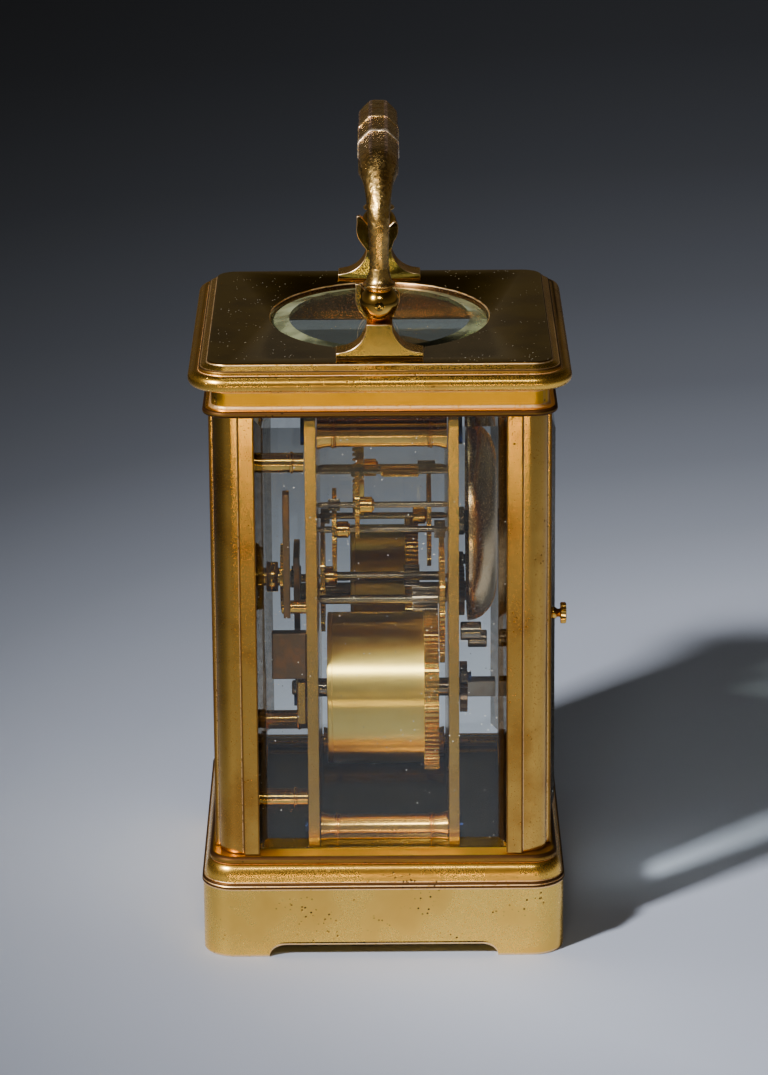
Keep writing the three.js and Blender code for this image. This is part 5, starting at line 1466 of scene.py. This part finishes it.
def platform():
    low, high = limits("platform")
    z0, z1 = high.z - 1.5, high.z
    outline = [(low.x, low.y), (high.x, low.y), (high.x, high.y), (low.x, high.y)]
    hole = circle(1.9, (0, ESCAPE.y), 32)
    shape = extruded(outline, "Z", (z0, z1), [hole])
    shape.join(block((-1.5, 1.5), (ESCAPE.y - 4.6, ESCAPE.y - 3.2), (low.z, z0 + 0.5)))
    shape.join(extruded([(-1.5, ESCAPE.y - 4.6), (1.5, ESCAPE.y - 4.6), (1.5, ESCAPE.y + 1.2), (-1.5, ESCAPE.y + 1.2)],
                        "Z", (low.z, low.z + 1.4), [circle(0.7, (0, ESCAPE.y), 20)]))
    piece("platform_plate", shape, turned_brass, replaces="platform", bevel=0.15)
    for k, (x, y) in enumerate(((-11.8, -15), (11.8, -15), (-11.8, 15.4))):
        screw(f"platform_screw_{k + 1}", (x, y), z1, 1, 1.3, 0.6, axis="Z", turn=0.7 * k + 0.2)
    low, high = limits("escape_wheel")
    staff = [(0, low.z), (0.35, low.z), (0.4, low.z + 0.1), (0.4, low.z + 1.4), (0.6, low.z + 1.5), (0.6, high.z - 0.1),
             (0.5, high.z), (0, high.z)]
    shape = turned(staff, "Z", (0, ESCAPE.y), 24)
    crown_z = CONTRATE.z + 11.5
    pitch = (11.5 - 0.6) * 6 / 54
    shape.join(extruded(gear_teeth(6, 2 * pitch / 6, math.pi / 2, True), "Z", (crown_z - 1.6, crown_z + 0.6),
                        centre=(0, ESCAPE.y)))
    piece("escape_pinion", shape, steel, body="escape_wheel", replaces="escape_wheel", bevel=0.03)
    teeth = []
    for i in range(15):
        a = i * TURN / 15
        teeth += [polar(2.9, a - 0.04), polar(3.65, a), polar(3.6, a + 0.09), polar(2.85, a + 0.12)]
    wheel = extruded(teeth, "Z", (130.4, 130.85), crossings(1.1, 2.4, 4, 0.4), centre=(0, ESCAPE.y))
    piece("escape_wheel_cut", wheel, wheel_brass, body="escape_wheel")
    low, high = limits("lever")
    shape = turned([(0, low.z), (0.5, low.z), (0.5, high.z), (0, high.z)], "Z", (0, LEVER.y), 20)
    shape.join(extruded([(-2.9, -0.45), (-2.2, -0.62), (0, -0.35), (2.2, -0.62), (2.9, -0.45), (2.9, 0.35), (0, 0.5),
                         (-2.9, 0.35)], "Z", (131.3, 131.7), centre=(0, LEVER.y)))
    shape.join(block((-0.35, 0.35), (LEVER.y, BALANCE.y - 2), (131.35, 131.65)))
    piece("lever_pallets", shape, steel, body="lever", replaces="lever", bevel=0.05)
    balance()


def balance():
    low, high = limits("balance_wheel")
    r = high.x
    at = BALANCE.x, BALANCE.y
    rim = [(r - 0.8, 133.45), (r - 0.7, 133.4), (r - 0.1, 133.4), (r, 133.5), (r, 134.1), (r - 0.1, 134.2), (r - 0.7, 134.2),
           (r - 0.8, 134.15), (r - 0.8, 133.45)]
    shape = turned(rim, "Z", at, 96)
    shape.join(block((-r + 0.5, r - 0.5), (BALANCE.y - 0.45, BALANCE.y + 0.45), (133.5, 134.1)))
    piece("balance_rim", shape, wheel_brass, body="balance_wheel", replaces="balance_wheel", bevel=0.06)
    staff = turned([(0, low.z), (0.4, low.z), (0.5, low.z + 0.1), (0.5, 132.2), (1.1, 132.25), (1.1, 132.7), (0.5, 132.75),
                    (0.5, high.z - 0.1), (0.4, high.z), (0, high.z)], "Z", at, 24)
    piece("balance_staff", staff, steel, body="balance_wheel")
    turns, steps = 7, 26
    line = []
    for i in range(turns * steps + 1):
        a = TURN * i / steps
        radius = 1.2 + 3.4 * i / (turns * steps)
        line.append((at[0] + radius * math.cos(a), at[1] + radius * math.sin(a), a))
    points, faces = [], []
    for x, y, a in line:
        for out, z in ((-0.05, 134.6), (0.05, 134.6), (0.05, 134.9), (-0.05, 134.9)):
            points.append((x + out * math.cos(a), y + out * math.sin(a), z))
    for i in range(len(line) - 1):
        for k in range(4):
            faces.append([4 * i + k, 4 * i + (k + 1) % 4, 4 * i + 4 + (k + 1) % 4, 4 * i + 4 + k])
    last = 4 * (len(line) - 1)
    faces += [[0, 1, 2, 3], [last + 3, last + 2, last + 1, last]]
    piece("hairspring", Shape().add(points, faces), blued_steel, body="balance_wheel")
    cock_low, cock_high = limits("balance_cock")
    z0 = cock_low.z
    foot = block((8, 13), (12, 17), (z0, 136.2))
    arm = [(-1.3, BALANCE.y + 1.3), (-1.2, BALANCE.y - 1.2), (0, BALANCE.y - 1.7), (1.6, BALANCE.y - 1.1), (13, 12), (13, 17),
           (8, 17)]
    foot.join(extruded(arm, "Z", (135.9, cock_high.z)))
    piece("balance_cock_arm", foot, turned_brass, replaces="balance_cock", bevel=0.15)
    screw("balance_cock_screw", (10.5, 14.5), cock_high.z, 1, 1.3, 0.5, axis="Z", turn=0.5)


# ---------------------------------------------------------------- camera, stage and lights


def camera():
    view = bpy.data.objects.new("camera", bpy.data.cameras.new("camera"))
    bpy.context.scene.collection.objects.link(view)
    view.location = (1.0778, 0.0007, 0.4248)
    tilt = math.radians(17.3)
    direction = Vector((-math.cos(tilt), 0, -math.sin(tilt)))
    view.rotation_mode = "QUATERNION"
    view.rotation_quaternion = direction.to_track_quat("-Z", "Y") @ Quaternion((0, 0, 1), math.radians(-0.4))
    view.data.lens = 157.4
    view.data.sensor_width = 36
    view.data.clip_start = 0.05
    view.data.clip_end = 20
    bpy.context.scene.camera = view


def floor_finish():
    """A pale blue-grey surface with a painted pool of light: its colour darkens away from a point near the clock, and
    far off it is painted lighter towards +Y and darker towards -Y.
    """
    f = Finish("floor_paper_painted_light")
    # Painted pool of light: the colour ramp falls off with the distance from a point near the clock, standing in for
    # the lamps' falloff.
    node = f.nodes.new("ShaderNodeVectorMath")
    node.operation = "DISTANCE"
    f.put(node.inputs[0], f.space)
    node.inputs[1].default_value = (-0.05, 0.19, 0)
    ramp = f.nodes.new("ShaderNodeValToRGB")
    f.put(ramp.inputs[0], node.outputs["Value"])
    painted_light_stops = ((0.0, 0.55), (0.2, 0.54), (0.26, 0.37), (0.33, 0.24), (0.42, 0.15), (0.55, 0.108), (0.75, 0.07), (1.0, 0.052))
    ramp.color_ramp.elements[1].position = painted_light_stops[-1][0]
    for place_at, _ in painted_light_stops[1:-1]:
        ramp.color_ramp.elements.new(place_at)
    for element, (_, value) in zip(ramp.color_ramp.elements, painted_light_stops):
        element.color = (value * 0.88, value * 0.985, value * 1.26, 1)
    # Painted light: far from the clock the floor is painted lighter towards +Y and darker towards -Y, as if lit more
    # from one side.
    side = f.band(f.along(1), -0.3, 0.3, 0.4, 1.6)
    far = f.band(node.outputs["Value"], 0.2, 0.5)
    lean = f.math("ADD", f.math("MULTIPLY", far, f.math("SUBTRACT", side, 1.0)), 1.0)
    painted_light_scaled = f.nodes.new("ShaderNodeVectorMath")
    painted_light_scaled.operation = "SCALE"
    f.put(painted_light_scaled.inputs[0], ramp.outputs[0])
    f.put(painted_light_scaled.inputs["Scale"], lean)
    painted_light_tone = painted_light_scaled.outputs[0]
    f.set(Base_Color=painted_light_tone, Roughness=0.65, Specular_IOR_Level=0.2, Normal=f.bump(f.grain(1.2, 3.0), 0.02))
    return f.material


def stage():
    mesh = bpy.data.meshes.new("floor")
    mesh.from_pydata([(-4, -4, 0), (4, -4, 0), (4, 4, 0), (-4, 4, 0)], [], [[0, 1, 2, 3]])
    mesh.materials.append(floor_finish())
    floor = bpy.data.objects.new("floor", mesh)
    bpy.context.scene.collection.objects.link(floor)


def lamp(name, place_at, size, power, colour, target=(0, 0, 0.08)):
    light = bpy.data.lights.new(name, "AREA")
    light.shape = "RECTANGLE"
    light.size, light.size_y = size
    light.energy = power
    light.color = colour
    made = bpy.data.objects.new(name, light)
    bpy.context.scene.collection.objects.link(made)
    made.location = place_at
    made.rotation_euler = (Vector(target) - Vector(place_at)).to_track_quat("-Z", "Y").to_euler()


def lights():
    lamp("key_light", (0.806, -0.778, 0.94), (0.12, 0.12), 36, (1.0, 0.97, 0.92))
    lamp("front_softbox", (1.15, 0.05, 1.1), (0.5, 0.06), 2.6, (1.0, 0.97, 0.88))
    lamp("overhead_strip", (-0.05, -0.1, 1.1), (0.4, 0.03), 0.17, (1.0, 0.97, 0.92))
    lamp("low_card", (0.47, 0, 0.0155), (0.5, 0.007), 0.2, (1.0, 0.74, 0.28), (0, 0, 0.0155))
    world = bpy.data.worlds.new("studio")
    world.use_nodes = True
    nodes, links = world.node_tree.nodes, world.node_tree.links
    shade = nodes["Background"]
    coordinates = nodes.new("ShaderNodeTexCoord")
    parts = nodes.new("ShaderNodeSeparateXYZ")
    links.new(coordinates.outputs["Generated"], parts.inputs[0])
    ramp = nodes.new("ShaderNodeMapRange")
    links.new(parts.outputs["Z"], ramp.inputs["Value"])
    for key, value in (("From Min", 0.1), ("From Max", 0.6), ("To Min", 0.07), ("To Max", 0.012)):
        ramp.inputs[key].default_value = value
    links.new(ramp.outputs[0], shade.inputs["Strength"])
    shade.inputs["Color"].default_value = (1.0, 0.88, 0.68, 1)
    bpy.context.scene.world = world


# ---------------------------------------------------------------- the whole clock

mask_brass = metal("mask_brass", (0.90, 0.66, 0.26), (0.70, 0.46, 0.14), 0.42, patches=0.2, speck=0.6, speck_size=0.3)

camera()
stage()
lights()
base_plinth()
cornice_top()
for pillar_name, sx, sy in (("pillar_front_left", -1, -1), ("pillar_front_right", 1, -1),
                            ("pillar_back_left", -1, 1), ("pillar_back_right", 1, 1)):
    pillar(pillar_name, sx, sy)
pane("front_glass", "front_pane", "Y-")
pane("left_glass", "left_pane", "X-")
pane("right_glass", "right_pane", "X+")
oval_glass_piece()
door()
handle()
for bracket_side, bracket_sx in (("right", 1), ("left", -1)):
    bracket(bracket_side, bracket_sx)
plates()
frame_pillars()
going_train()
striking_train()
click("going", -1, GOING, "going_click")
click("strike", 1, STRIKE, "strike_click")
dial()
motion_work()
strike_details()
rack()
bridge()
bell()
platform()
